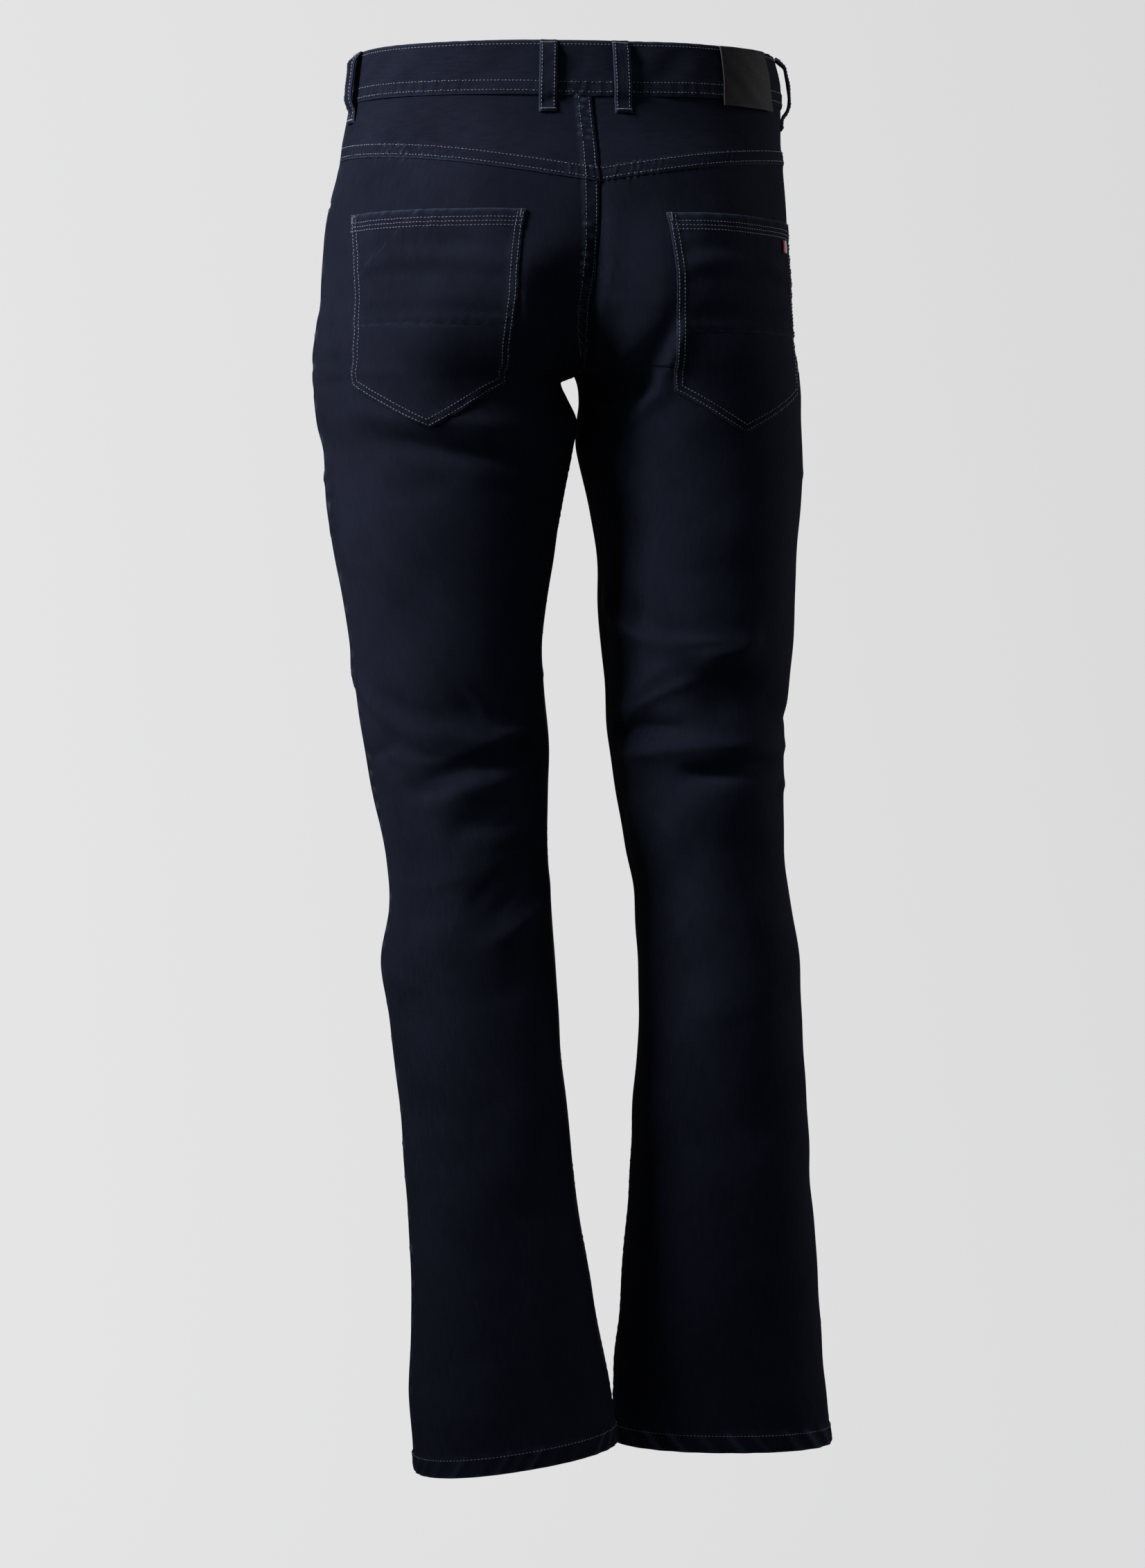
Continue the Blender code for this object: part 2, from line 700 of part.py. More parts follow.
waistband("waistband")
for word, side in (("left", LEFT), ("right", RIGHT)):
    yoke(f"yoke_{word}", side)
    leg_panel(f"back_{word}", side, BACK)
    leg_panel(f"front_{word}", side, FRONT)
    pocket_facing(f"pocket_facing_{word}", side)
    top, seam, corner = (row[0] for row in POCKETS[side])
    back_pocket(f"back_pocket_{word}_upper", side, top, seam - SEAM_GAP, POCKET_DOWN)
    back_pocket(f"back_pocket_{word}_lower", side, seam, corner, POCKET_DOWN)
    for where, face, from_seam, on_left, on_right, stand_off in LOOP_ROWS:
        distance = on_left if side == LEFT else on_right
        belt_loop(f"belt_loop_{where}_{word}", side, face, from_seam, distance, stand_off)
patch_off = BAND_PROUD + LOOP_OFF
lay_on(
    "patch", RIGHT, BACK, PATCH_ACROSS, PATCH_DOWN, patch_off, PATCH_THICK, LEATHERETTE, 0.5
)
tab_off = POCKET_OFF + POCKET_THICK + SEAM_GAP
lay_on("pocket_tab", RIGHT, BACK, TAB_ACROSS, TAB_DOWN, tab_off, TAB_THICK, WOVEN_TAB, 0.8)
waist_button("waist_button")
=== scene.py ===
"""The looks of the straight-leg jeans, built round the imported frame."""

import math

import bpy
import numpy as np
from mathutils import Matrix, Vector


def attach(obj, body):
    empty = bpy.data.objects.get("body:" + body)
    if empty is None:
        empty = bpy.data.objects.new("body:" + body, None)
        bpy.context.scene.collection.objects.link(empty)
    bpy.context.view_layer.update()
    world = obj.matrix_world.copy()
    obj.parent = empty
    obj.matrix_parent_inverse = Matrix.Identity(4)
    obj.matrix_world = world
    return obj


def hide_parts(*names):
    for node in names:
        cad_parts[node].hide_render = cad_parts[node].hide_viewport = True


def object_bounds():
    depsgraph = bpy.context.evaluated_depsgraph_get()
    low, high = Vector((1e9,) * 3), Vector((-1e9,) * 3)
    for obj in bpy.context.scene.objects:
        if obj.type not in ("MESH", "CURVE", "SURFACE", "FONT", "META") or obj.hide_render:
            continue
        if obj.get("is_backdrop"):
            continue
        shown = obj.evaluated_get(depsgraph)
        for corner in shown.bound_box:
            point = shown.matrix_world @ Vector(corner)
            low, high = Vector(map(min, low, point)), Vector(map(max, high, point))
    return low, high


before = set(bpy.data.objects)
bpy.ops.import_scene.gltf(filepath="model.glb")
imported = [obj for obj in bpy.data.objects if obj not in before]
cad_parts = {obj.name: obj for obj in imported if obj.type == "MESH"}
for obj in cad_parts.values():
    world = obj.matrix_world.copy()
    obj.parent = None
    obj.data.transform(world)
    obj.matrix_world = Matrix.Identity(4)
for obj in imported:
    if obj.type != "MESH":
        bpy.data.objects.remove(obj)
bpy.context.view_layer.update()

# ---------------------------------------------------------------------------------------
# Studio: a camera level with the thighs, behind the jeans and a little to their left side,
# a pale sweep of wall and floor, and large soft lights with the key on the viewer's left.

PHOTO_WIDTH = 1652
FOCAL_PX = 7690.0
CAMERA_PLACE = (0.6890, 3.9402, -0.5446)
CAMERA_AIM = (-0.17365, -0.98481, 0.0)
SENSOR_WIDTH = 36.0
FLOOR = -1.20


def put(name, data):
    """A new object for a mesh, light or camera, in the scene."""
    made = bpy.data.objects.new(name, data)
    bpy.context.scene.collection.objects.link(made)
    return made


camera_data = bpy.data.cameras.new("camera")
camera_data.sensor_fit = "HORIZONTAL"
camera_data.sensor_width = SENSOR_WIDTH
camera_data.lens = SENSOR_WIDTH * FOCAL_PX / PHOTO_WIDTH
camera = put("camera", camera_data)
camera.location = CAMERA_PLACE
camera.rotation_euler = Vector(CAMERA_AIM).to_track_quat("-Z", "Y").to_euler()
bpy.context.scene.camera = camera
bpy.context.scene.view_settings.view_transform = "Standard"


def light(name, place, aim, size, spread, watts, colour):
    """A square soft light that looks at a place, with its beam's spread in degrees."""
    data = bpy.data.lights.new(name, "AREA")
    data.size = size
    data.spread = math.radians(spread)
    data.energy = watts
    data.color = colour
    lamp = put(name, data)
    lamp.location = place
    lamp.rotation_euler = (Vector(aim) - Vector(place)).to_track_quat("-Z", "Y").to_euler()
    return lamp


COOL, COOLER, WHITE = (0.975, 0.985, 1.0), (0.96, 0.98, 1.0), (1.0, 1.0, 1.0)
key = light("key", (2.05, 0.74, 1.2), (0.0, 0.0, 0.10), 0.8, 52, 13.6, COOL)
low = light("low", (2.3, 0.42, -0.1), (0.1, 0.0, -0.40), 0.6, 20, 0.62, COOL)
fill = light("fill", (-2.7, -0.5, 0.2), (-0.1, 0.0, -0.35), 1.6, 70, 5.5, COOLER)
front = light("front", (-0.55, -3.1, 0.9), (0.0, 0.0, -0.5), 1.2, 60, 60, WHITE)
wall = light("wall", (3.0, 2.0, 2.5), (0.4, -2.2, -0.6), 1.6, 180, 185, WHITE)
wall.data.use_shadow = False

# The world shows paler to the camera than it shines on the jeans.
WORLD_SHINE, WORLD_SHOWN = 0.16, 0.72
world = bpy.data.worlds.new("studio")
world.use_nodes = True
nodes, links = world.node_tree.nodes, world.node_tree.links
ray = nodes.new("ShaderNodeLightPath")
strength = nodes.new("ShaderNodeMapRange")
strength.inputs["To Min"].default_value = WORLD_SHINE
strength.inputs["To Max"].default_value = WORLD_SHOWN
links.new(ray.outputs["Is Camera Ray"], strength.inputs["Value"])
links.new(strength.outputs[0], nodes["Background"].inputs["Strength"])
nodes["Background"].inputs["Color"].default_value = (0.98, 0.985, 1.0, 1)
bpy.context.scene.world = world


def backdrop_paint(name):
    """Matt pale paint. From outside it is clear, so that it hides the jeans from no side."""
    paint = bpy.data.materials.new(name)
    paint.use_nodes = True
    nodes, links = paint.node_tree.nodes, paint.node_tree.links
    shader = nodes["Principled BSDF"]
    shader.inputs["Base Color"].default_value = (0.50, 0.50, 0.50, 1)
    shader.inputs["Roughness"].default_value = 0.95
    shader.inputs["Emission Color"].default_value = (1.0, 1.0, 1.0, 1)
    shader.inputs["Emission Strength"].default_value = 0.47
    shader.inputs["Specular IOR Level"].default_value = 0.1
    clear, mixed = nodes.new("ShaderNodeBsdfTransparent"), nodes.new("ShaderNodeMixShader")
    side_seen = nodes.new("ShaderNodeNewGeometry")
    links.new(side_seen.outputs["Backfacing"], mixed.inputs["Fac"])
    links.new(shader.outputs[0], mixed.inputs[1])
    links.new(clear.outputs[0], mixed.inputs[2])
    links.new(mixed.outputs[0], nodes["Material Output"].inputs["Surface"])
    return paint


def sweep(name):
    """The backdrop: a floor that bends up into a wall."""
    near, far, bend, top, half, steps = 7.0, -0.4, 2.6, 5.0, 7.0, 32
    outline = [(near, FLOOR), (far, FLOOR)]
    for turn in np.linspace(0, math.pi / 2, steps + 1)[1:]:
        outline.append((far - bend * math.sin(turn), FLOOR + bend * (1 - math.cos(turn))))
    outline.append((far - bend, top))
    points = [(x, y, z) for y, z in outline for x in (-half, half)]
    faces = [(2 * i, 2 * i + 2, 2 * i + 3, 2 * i + 1) for i in range(len(outline) - 1)]
    mesh = bpy.data.meshes.new(name)
    mesh.from_pydata(points, [], faces)
    mesh.shade_smooth()
    mesh.materials.append(backdrop_paint(f"{name}_paint"))
    return put(name, mesh)


# The wall light falls on the backdrop alone and the others leave it out, so the backdrop
# is as even as the photograph's. It throws no light back on the jeans.
backdrop = sweep("backdrop")
backdrop.visible_diffuse = False
backdrop.visible_glossy = False
backdrop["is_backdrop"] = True
for lamp in (wall, key, low, fill, front):
    state = "INCLUDE" if lamp is wall else "EXCLUDE"
    lit = bpy.data.collections.new(f"lit_by_{lamp.name}")
    lit.objects.link(backdrop)
    lit.collection_objects[0].light_linking.link_state = state
    lamp.light_linking.receiver_collection = lit

# ---------------------------------------------------------------------------------------
# Leg panels: two backs and two fronts of black-blue stretch denim, rinsed once, each cut
# from one layer. The side seams and inseams are plain, the seat seam is felled, and the
# hems are turned twice and sewn with one row.

# All sizes are in mm. Across runs from the side seam over the cloth, and down from the
# waistband's top edge.
MM = 0.001
LEFT, RIGHT = 1, -1
BACK, FRONT = 1, -1
SIDES = (("left", LEFT), ("right", RIGHT))
LENGTHS = {LEFT: 1041.0, RIGHT: 1039.5}
CROTCH = 238.0
BAND_CENTRE, BAND_SIDE = 42.0, 38.0
CLOTH = 1.3
SEAM_GAP, SEAM_TUCK, SEAM_PROUD, SEAM_BAND = 0.3, 1.6, 0.8, 12.0
SEAM_FLAT, SEAM_FADE = 14.0, 20.0
SEAT_EDGE, INSEAM_EDGE, INSEAM_SHARE = 1.2, 5.0, 0.5
HEM_TURN = 14.0
# How round each half is, as the power in its outline, and where its rings dip.
FULLNESS = 2.2
FRONT_DROP = 15.0
HEEL_DROP, HEEL_FROM, HEEL_RUN = 4.0, 700.0, 300.0
SIDE_RISE = -1.3
YOKE_SIDE, YOKE_CENTRE, YOKE_BEND, YOKE_BAND = 80.0, 105.0, 1.5, 10.5
FLY_LAP, FLY_LENGTH, FLY_CLOSED, FLY_STEEP = 12.0, 172.0, 24.0, 1.2
LAP_LIFT, LAP_RAMP = 2.1, 34.0
RISE_LAP, RISE_LIFT = 2.2, 1.3
SCOOP_WIDTH, SCOOP_DEPTH, SCOOP_BEND = 100.0, 78.0, 1.7
# The puckers that sewing draws: how high, and their shortest and longest waves.
SEAT_PUCKER, MIDDLE_PUCKER, INSEAM_PUCKER, SEAM_WAVES = 0.46, 0.12, 0.15, (5.5, 8.5)
SIDE_PUCKER, SIDE_WAVES, SIDE_WELT = 0.22, (9, 26), 0.25
HEM_PUCKER, HEM_WAVES = 0.38, (11, 24)
YOKE_PUCKER, YOKE_WAVES = 0.24, (4.0, 6.5)
# How far plain edges turn in, and over what width.
SIDE_TURN, INNER_TURN, TURN_WIDE = 0.9, 0.8, 1.1

SEAT_COLUMNS = ("down", "mid", "left", "right", "back", "front", "parted")
SEAT = (
    (0, 0.0, 158, 158, 100, -106, 0.00),
    (22, -0.5, 161, 162, 103, -108, 0.02),
    (44, -1.0, 164, 162, 107, -110, 0.04),
    (66, -2.3, 170, 160, 112, -112, 0.08),
    (86, -3.4, 174, 160, 118, -113, 0.14),
    (128, -3.7, 184, 162, 126, -114, 0.30),
    (170, -1.2, 185, 165, 131, -112, 0.46),
    (190, 0.8, 184, 167, 130, -109, 0.580),
    (200, 0.8, 186, 168, 128, -107, 0.645),
    (212, -0.8, 189, 167, 126, -105, 0.745),
    (224, -3.8, 194, 166, 123, -101, 0.870),
    (230, -5.5, 196, 166, 121, -99, 0.933),
    (234, -6.8, 197, 165, 120, -98, 0.975),
    (238, -8.0, 199, 165, 118, -96, 1.00),
)
LEG_COLUMNS = ("down", "outer", "inner", "back", "front", "tilt")
LEFT_LEG = (
    (224, 192, -12, 123, -101, 0),
    (238, 191, -8, 118, -96, 0),
    (241, 191, -3, 117, -96, 0),
    (244, 191, 5.5, 116, -95, 0),
    (250, 190, 5.0, 114, -95, 1),
    (256, 190, 2, 113, -94, 1),
    (275, 187, -6, 109, -92, 2),
    (296, 181, -3, 106, -90, 3),
    (340, 179, 5, 100, -85, 4),
    (400, 169, 16, 93, -79, 6),
    (450, 159, 20, 89, -75, 8),
    (505, 153, 16, 86, -72, 9),
    (550, 145, 16, 84, -72, 10),
    (600, 135, 15, 84, -71, 12),
    (632, 133, 14, 85, -69, 13),
    (672, 139, 13, 87, -61, 14),
    (715, 134, 11, 90, -51, 15),
    (775, 128, 7, 93, -42, 17),
    (850, 122, -1, 97, -34, 20),
    (930, 121, -12, 101, -25, 23),
    (1000, 122, -25, 105, -17, 22),
    (1041, 120, -30, 108, -12, 22),
)
RIGHT_LEG = (
    (224, -172, 4, 123, -101, 0),
    (238, -173, -8, 118, -96, 0),
    (256, -176, -12, 113, -95, 0),
    (275, -177, -10, 109, -93, 0),
    (293, -177, -10, 105, -92, 0),
    (340, -176, -21, 97, -89, 0),
    (382, -173, -27, 90, -88, 0),
    (425, -173, -28, 84, -87, 0),
    (465, -171, -33, 79, -86, 0),
    (507, -166, -35, 76, -84, 0),
    (549, -166, -41, 72, -84, 0),
    (591, -167, -50, 70, -84, 0),
    (625, -171, -57, 69, -83, 0),
    (665, -177, -58, 67, -78, 0),
    (720, -180, -59, 64, -73, 0),
    (780, -184, -55, 61, -70, 0),
    (860, -189, -50, 58, -67, 1),
    (950, -196, -43, 54, -66, 2),
    (1004, -201, -39, 51, -66, 3),
    (1041, -205, -37, 50, -66, 3),
)


def column(table, columns, name):
    """A smooth curve through the values in one column of a table of sections."""
    down = np.array([row[0] for row in table], float)
    value = np.array([row[columns.index(name)] for row in table], float)
    before = np.maximum(np.arange(len(down)) - 1, 0)
    after = np.minimum(np.arange(len(down)) + 1, len(down) - 1)
    slope = (value[after] - value[before]) / (down[after] - down[before])

    def curve(at):
        at = np.clip(np.asarray(at, float), down[0], down[-1])
        i = np.clip(np.searchsorted(down, at) - 1, 0, len(down) - 2)
        step = down[i + 1] - down[i]
        t = (at - down[i]) / step
        start = (2 * t**3 - 3 * t**2 + 1) * value[i]
        leave = (t**3 - 2 * t**2 + t) * step * slope[i]
        end = (3 * t**2 - 2 * t**3) * value[i + 1]
        arrive = (t**3 - t**2) * step * slope[i + 1]
        return start + leave + end + arrive

    return curve


SEAT_CURVES = {name: column(SEAT, SEAT_COLUMNS, name) for name in SEAT_COLUMNS[1:]}
LEG_CURVES = {
    side: {name: column(table, LEG_COLUMNS, name) for name in LEG_COLUMNS[1:]}
    for side, table in ((LEFT, LEFT_LEG), (RIGHT, RIGHT_LEG))
}


def ease(t):
    """0 before 0, 1 after 1, and a smooth rise between."""
    t = np.clip(t, 0.0, 1.0)
    return t * t * (3 - 2 * t)


def blend(start, end, share):
    return start + (end - start) * share


def ring(side, down):
    """One half's ring: its middle x and y, half width, back, front, and parted share."""
    seat = {name: curve(down) for name, curve in SEAT_CURVES.items()}
    leg = {name: curve(down) for name, curve in LEG_CURVES[side].items()}
    above = down < CROTCH
    parted = np.where(above, np.clip(seat["parted"], 0, 1), 1.0)
    half_seat = seat["left" if side == LEFT else "right"] / (1 + parted)
    half = np.where(above, half_seat, side * (leg["outer"] - leg["inner"]) / 2)
    middle_x = np.where(
        above, seat["mid"] + side * parted * half_seat, (leg["outer"] + leg["inner"]) / 2
    )
    back = np.where(above, seat["back"], leg["back"])
    front = np.where(above, seat["front"], leg["front"])
    return middle_x + side * SEAM_GAP / 2, (back + front) / 2, half, back, front, parted


# The smooth surface, as a map of places for each half's back and front: a row for each mm
# down, and an even number of shares across.
SHARES = 220
DOWN_STEP = 1.0
CLOTH_MAP, CLOTH_LENGTH = {}, {}
for side in (LEFT, RIGHT):
    for face in (BACK, FRONT):
        downs = np.arange(0, LENGTHS[side] + 3, DOWN_STEP)
        middle_x, middle_y, half, back, front, parted = ring(side, downs)
        end = math.pi - np.arccos(parted ** (FULLNESS / 2))
        turn = end[:, None] * np.linspace(0, 1, 2 * SHARES)[None, :]
        cosine, sine = np.cos(turn), np.abs(np.sin(turn))
        x = middle_x[:, None] + side * half[:, None] * np.sign(cosine) * (
            np.abs(cosine) ** (2 / FULLNESS)
        )
        reach = (back if face == BACK else front) - middle_y
        y = middle_y[:, None] + reach[:, None] * sine ** (2 / FULLNESS)
        steps = np.hypot(np.diff(x), np.diff(y))
        length = np.concatenate([np.zeros((len(downs), 1)), np.cumsum(steps, axis=1)], axis=1)
        even = np.linspace(0, 1, SHARES)
        x = np.array([np.interp(even * row[-1], row, at) for row, at in zip(length, x)])
        y = np.array([np.interp(even * row[-1], row, at) for row, at in zip(length, y)])
        forward = np.maximum(0, (middle_y[:, None] - y) / (middle_y - front)[:, None])
        hung = np.maximum(0, 1 - downs / CROTCH)[:, None]
        z = -downs[:, None] - FRONT_DROP * forward**2 * hung + SIDE_RISE * hung * x / SEAT[0][2]
        leg_part = (downs > CROTCH)[:, None]
        tilt = LEG_CURVES[side]["tilt"](downs)[:, None]
        lowered = HEEL_DROP * ease((downs - HEEL_FROM) / HEEL_RUN)[:, None]
        lean = tilt / 2 * side * (x - middle_x[:, None]) / half[:, None]
        heel = lowered * (y - middle_y[:, None]) / (back - middle_y)[:, None]
        z = np.where(leg_part, z - lean - heel, z)
        CLOTH_MAP[side, face] = np.stack([x, y, z], axis=2)
        CLOTH_LENGTH[side, face] = length[:, -1]


def arc_length(side, face, down):
    """How far across the cloth runs, from the side seam to the inseam or the middle."""
    table = CLOTH_LENGTH[side, face]
    return np.interp(down, np.arange(len(table)) * DOWN_STEP, table)


def on_map(side, face, across, down):
    """Places on the smooth surface, in mm, read between the rows of the map."""
    table = CLOTH_MAP[side, face]
    # Both stop just short of the end, so that there is always a next row and column.
    row = np.clip(down / DOWN_STEP, 0, len(table) - 1.001)
    share = np.clip(across / arc_length(side, face, down), 0, 1) * (SHARES - 1.001)
    i, j = row.astype(int), share.astype(int)
    p, q = (row - i)[..., None], (share - j)[..., None]
    above = table[i, j] * (1 - q) + table[i, j + 1] * q
    below = table[i + 1, j] * (1 - q) + table[i + 1, j + 1] * q
    return above * (1 - p) + below * p


def bare(side, face, across, down):
    """Places on the smooth surface. Past a seam they run on round the garment."""
    across, down = np.broadcast_arrays(np.asarray(across, float), np.asarray(down, float))
    places = on_map(side, face, across, down)
    before = across < 0
    if before.any():
        places[before] = on_map(side, -face, -across[before], down[before])
    over = across - arc_length(side, face, down)
    middle = (over > 0) & (down < (FLY_LENGTH + 2 if face == BACK else CROTCH - 2))
    inseam = (over > 0) & (down > CROTCH)
    for beyond, half, next_face in ((middle, -side, face), (inseam, side, -face)):
        if beyond.any():
            other = arc_length(half, next_face, down[beyond]) - over[beyond]
            places[beyond] = on_map(half, next_face, other, down[beyond])
    return places


def unit(vectors):
    return vectors / np.maximum(np.linalg.norm(vectors, axis=-1, keepdims=True), 1e-9)


def outward(side, face, across, down):
    """The direction straight out of the cloth."""
    across, down = np.broadcast_arrays(np.asarray(across, float), np.asarray(down, float))
    before, above = np.maximum(across - 1.5, 0), np.maximum(down - 2, 0)
    aside = bare(side, face, across + 1.5, down) - bare(side, face, before, down)
    below = bare(side, face, across, down + 2) - bare(side, face, across, above)
    return unit(np.cross(below, aside) * side * face)


def lifted(side, face, across, down, out):
    """Places in metres, some mm straight out from the smooth surface."""
    out = np.asarray(out)[..., None]
    return (bare(side, face, across, down) + outward(side, face, across, down) * out) * MM


# The largest folds, most of which the solids have too: start across and down, end across
# and down, bow, half width, and height.
FOLDS = {
    (LEFT, BACK): (
        (202, 128, 208, 280, 0, 22, 4.0),
        (192, 166, 256, 256, 6, 9, 2.5),
        (208, 160, 270, 250, 5, 12, -3.5),
        (40, 268, 232, 284, 4, 12, 4.5),
        (50, 290, 245, 299, 6, 9, -5.0),
        (120, 238, 300, 262, 14, 26, -5.0),
        (20, 474, 150, 512, 14, 9, 4.0),
        (30, 463, 128, 496, 12, 9, -3.0),
        (100, 464, 200, 500, 20, 10, -3.5),
        (96, 536, 200, 506, 4, 9, -6.0),
        (104, 520, 190, 498, 4, 9, 3.5),
        (40, 548, 122, 528, 4, 8, -4.0),
        (70, 560, 160, 540, -4, 12, 4.0),
        (80, 588, 150, 562, -6, 10, -4.0),
        (96, 652, 196, 584, 6, 14, -5.0),
        (96, 668, 196, 608, 8, 12, 4.0),
        (4, 676, 70, 690, 0, 14, 2.5),
        (10, 640, 90, 636, 0, 10, -1.5),
    ),
    (RIGHT, BACK): (
        (190, 120, 192, 290, 0, 24, 4.0),
        (178, 300, 176, 620, 0, 26, 4.5),
        (296, 236, 178, 246, 12, 9, -6.0),
        (224, 280, 178, 190, 5, 9, -5.0),
        (286, 252, 176, 256, 10, 8, 3.5),
        (216, 286, 170, 192, 5, 8, 4.0),
        (280, 218, 196, 208, 18, 14, 4.5),
        (252, 396, 136, 452, 6, 9, 5.0),
        (206, 400, 138, 440, 8, 9, -3.5),
        (150, 448, 84, 430, 8, 9, 5.0),
        (150, 474, 40, 482, 4, 17, -6.0),
        (142, 448, 200, 512, -10, 12, 3.5),
        (232, 514, 112, 512, -12, 8, -4.0),
        (232, 528, 40, 516, -4, 9, 5.0),
        (156, 538, 34, 524, 2, 8, -6.5),
        (210, 546, 130, 600, -8, 18, 4.0),
        (100, 560, 60, 640, 6, 18, -3.0),
    ),
    (LEFT, FRONT): (
        (30, 176, 196, 214, 14, 12, -3.0),
        (24, 200, 190, 236, 12, 12, 3.0),
        (30, 470, 190, 484, 14, 12, -3.5),
        (36, 500, 200, 512, 12, 12, 3.5),
        (20, 560, 150, 590, 10, 14, -3.0),
        (40, 640, 180, 620, 10, 14, 3.0),
        (60, 700, 190, 680, 8, 14, -3.0),
    ),
    (RIGHT, FRONT): (
        (30, 180, 190, 216, 16, 12, -3.0),
        (24, 206, 184, 238, 12, 12, 3.0),
        (40, 480, 196, 476, 14, 12, 3.5),
        (30, 506, 186, 502, 12, 12, -3.5),
        (50, 590, 190, 570, 10, 14, 3.0),
        (30, 632, 160, 650, 8, 14, -3.0),
        (40, 706, 170, 690, 8, 14, 3.0),
    ),
}
FOLD_FADE, FOLD_END, FOLD_ROUND = 14.0, 0.34, 1.45
# Creases die out over this much cloth below the waistband and above the hem.
CREASE_CALM = 60.0

# Smaller creases, worn in at the seat, knees and thighs: start across and down, end across
# and down, bow, half width above and below, and height. Across is more than 0 on the back
# and less than 0 on the front. The half widths differ, because one side of a crease hangs
# over the other.
CREASES = {
    LEFT: (
        (-24, 318, 26, 300, 4, 6, 4, 1.6),
        (-20, 338, 30, 326, 3, 6, 4, -1.4),
        (-16, 356, 34, 346, 3, 5, 4, 1.3),
        (-40, 430, 60, 492, 8, 8, 5, 2.2),
        (-10, 520, 70, 508, 4, 6, 4, -1.8),
        (60, 500, 130, 520, 10, 7, 3, 1.6),
        (110, 600, 190, 566, 5, 6, 4, -1.6),
        (30, 610, 110, 606, 8, 7, 5, 1.3),
        (150, 320, 240, 330, 10, 10, 6, -1.2),
        (40, 316, 150, 322, 12, 12, 8, -1.0),
        (170, 470, 214, 462, 4, 6, 4, 1.4),
        (60, 700, 160, 690, 6, 12, 9, -1.0),
        (20, 780, 120, 800, 8, 16, 12, 1.0),
        (80, 860, 190, 840, 8, 18, 14, -1.0),
        (118, 292, 252, 297, 3, 9, 2.6, 2.4),
        (110, 300, 250, 305, 3, 3, 12, -2.2),
        (246, 150, 236, 226, -6, 16, 20, -3.0),
        (36, 477, 114, 507, 6, 3.5, 5, 1.9),
        (102, 454, 137, 507, -4, 4, 5, 1.8),
        (130, 510, 196, 500, 3, 4, 3, 2.6),
        (114, 527, 188, 511, 0, 3.5, 6, -2.8),
        (34, 515, 124, 520, 9, 3, 5, 1.5),
        (58, 546, 104, 544, 4, 4, 6, -2.0),
        (96, 577, 152, 573, 2, 3.5, 6, -1.8),
        (94, 566, 152, 563, 2, 4, 3, 1.4),
        (90, 641, 150, 599, -4, 7, 9, -2.2),
        (120, 649, 172, 605, -3, 5, 8, 2.0),
        (10, 930, 110, 940, 6, 18, 14, 0.9),
        (-60, 476, -140, 488, 8, 8, 5, 1.8),
        (-50, 520, -150, 530, 10, 8, 5, -1.8),
        (-80, 600, -170, 588, 8, 9, 6, 1.6),
        (-60, 216, -200, 246, 14, 9, 6, 1.6),
        (-90, 250, -214, 262, 8, 8, 6, -1.6),
        (-40, 740, -140, 730, 6, 12, 9, 1.0),
    ),
    RIGHT: (
        (-30, 300, 34, 312, 4, 6, 4, 1.5),
        (-22, 334, 30, 340, 3, 6, 4, -1.4),
        (-30, 470, 60, 500, 6, 8, 5, -1.8),
        (-20, 520, 50, 508, 4, 6, 4, 1.6),
        (190, 270, 250, 286, 8, 6, 4, -1.5),
        (205, 300, 262, 318, 6, 6, 4, 1.5),
        (210, 330, 250, 344, 6, 6, 5, -1.2),
        (120, 466, 60, 474, 4, 6, 4, 1.6),
        (60, 548, 20, 540, 3, 6, 4, 1.4),
        (256, 96, 252, 232, 0, 26, 24, 6.0),
        (290, 246, 196, 240, 30, 4, 10, -2.6),
        (242, 402, 96, 434, 18, 3.5, 4.5, 2.6),
        (152, 462, 66, 474, 0, 6, 8, -2.4),
        (208, 511, 126, 464, -6, 4, 5, 2.4),
        (228, 512, 124, 510, -9, 3.5, 5, -2.6),
        (146, 538, 48, 523, 2, 3.5, 5, -2.8),
        (152, 528, 42, 517, 2, 4, 3, 2.0),
        (212, 524, 148, 526, -5, 3.5, 5, 1.4),
        (180, 480, 220, 492, 3, 5, 4, 1.5),
        (60, 700, 160, 716, 6, 14, 10, 1.0),
        (40, 800, 150, 780, 8, 16, 12, -1.0),
        (20, 900, 130, 910, 8, 18, 14, 0.9),
        (-70, 474, -150, 486, 8, 8, 5, -1.8),
        (-60, 516, -150, 524, 10, 8, 5, 1.8),
        (-70, 596, -160, 604, 8, 9, 6, -1.6),
        (-60, 220, -190, 250, 14, 9, 6, 1.6),
        (-80, 254, -200, 268, 8, 8, 6, -1.6),
        (-40, 730, -140, 744, 6, 12, 9, -1.0),
    ),
}
CREASE_ROUND, VALLEY_ROUND = 1.5, 2.0

# The cloth's slow unevenness: wave lengths, and a height.
WAVER_LENGTHS = (46, 64, 90, 120, 165)
WAVER_HEIGHT = 0.42


def ripple(at, shortest, longest, seed, count=7):
    """Uneven waves along a line of mm, of height about 1, such as a seam's puckers."""
    dice = np.random.RandomState(seed)
    total = np.zeros_like(np.asarray(at, float))
    for _ in range(count):
        wave = math.exp(dice.uniform(math.log(shortest), math.log(longest)))
        total = total + np.sin(2 * np.pi * (at / wave + dice.uniform()))
    return total / math.sqrt(count / 2)


def waver(side, round_leg, down):
    """Broad, slow unevenness all round a leg."""
    dice = np.random.RandomState(40 + side)
    total = np.zeros_like(round_leg)
    for wave in WAVER_LENGTHS:
        for _ in range(3):
            turn = dice.uniform(0, np.pi)
            along = round_leg * np.cos(turn) + down * np.sin(turn)
            total = total + np.sin(2 * np.pi * (along / wave + dice.uniform())) * wave / 90
    return total * WAVER_HEIGHT / 2


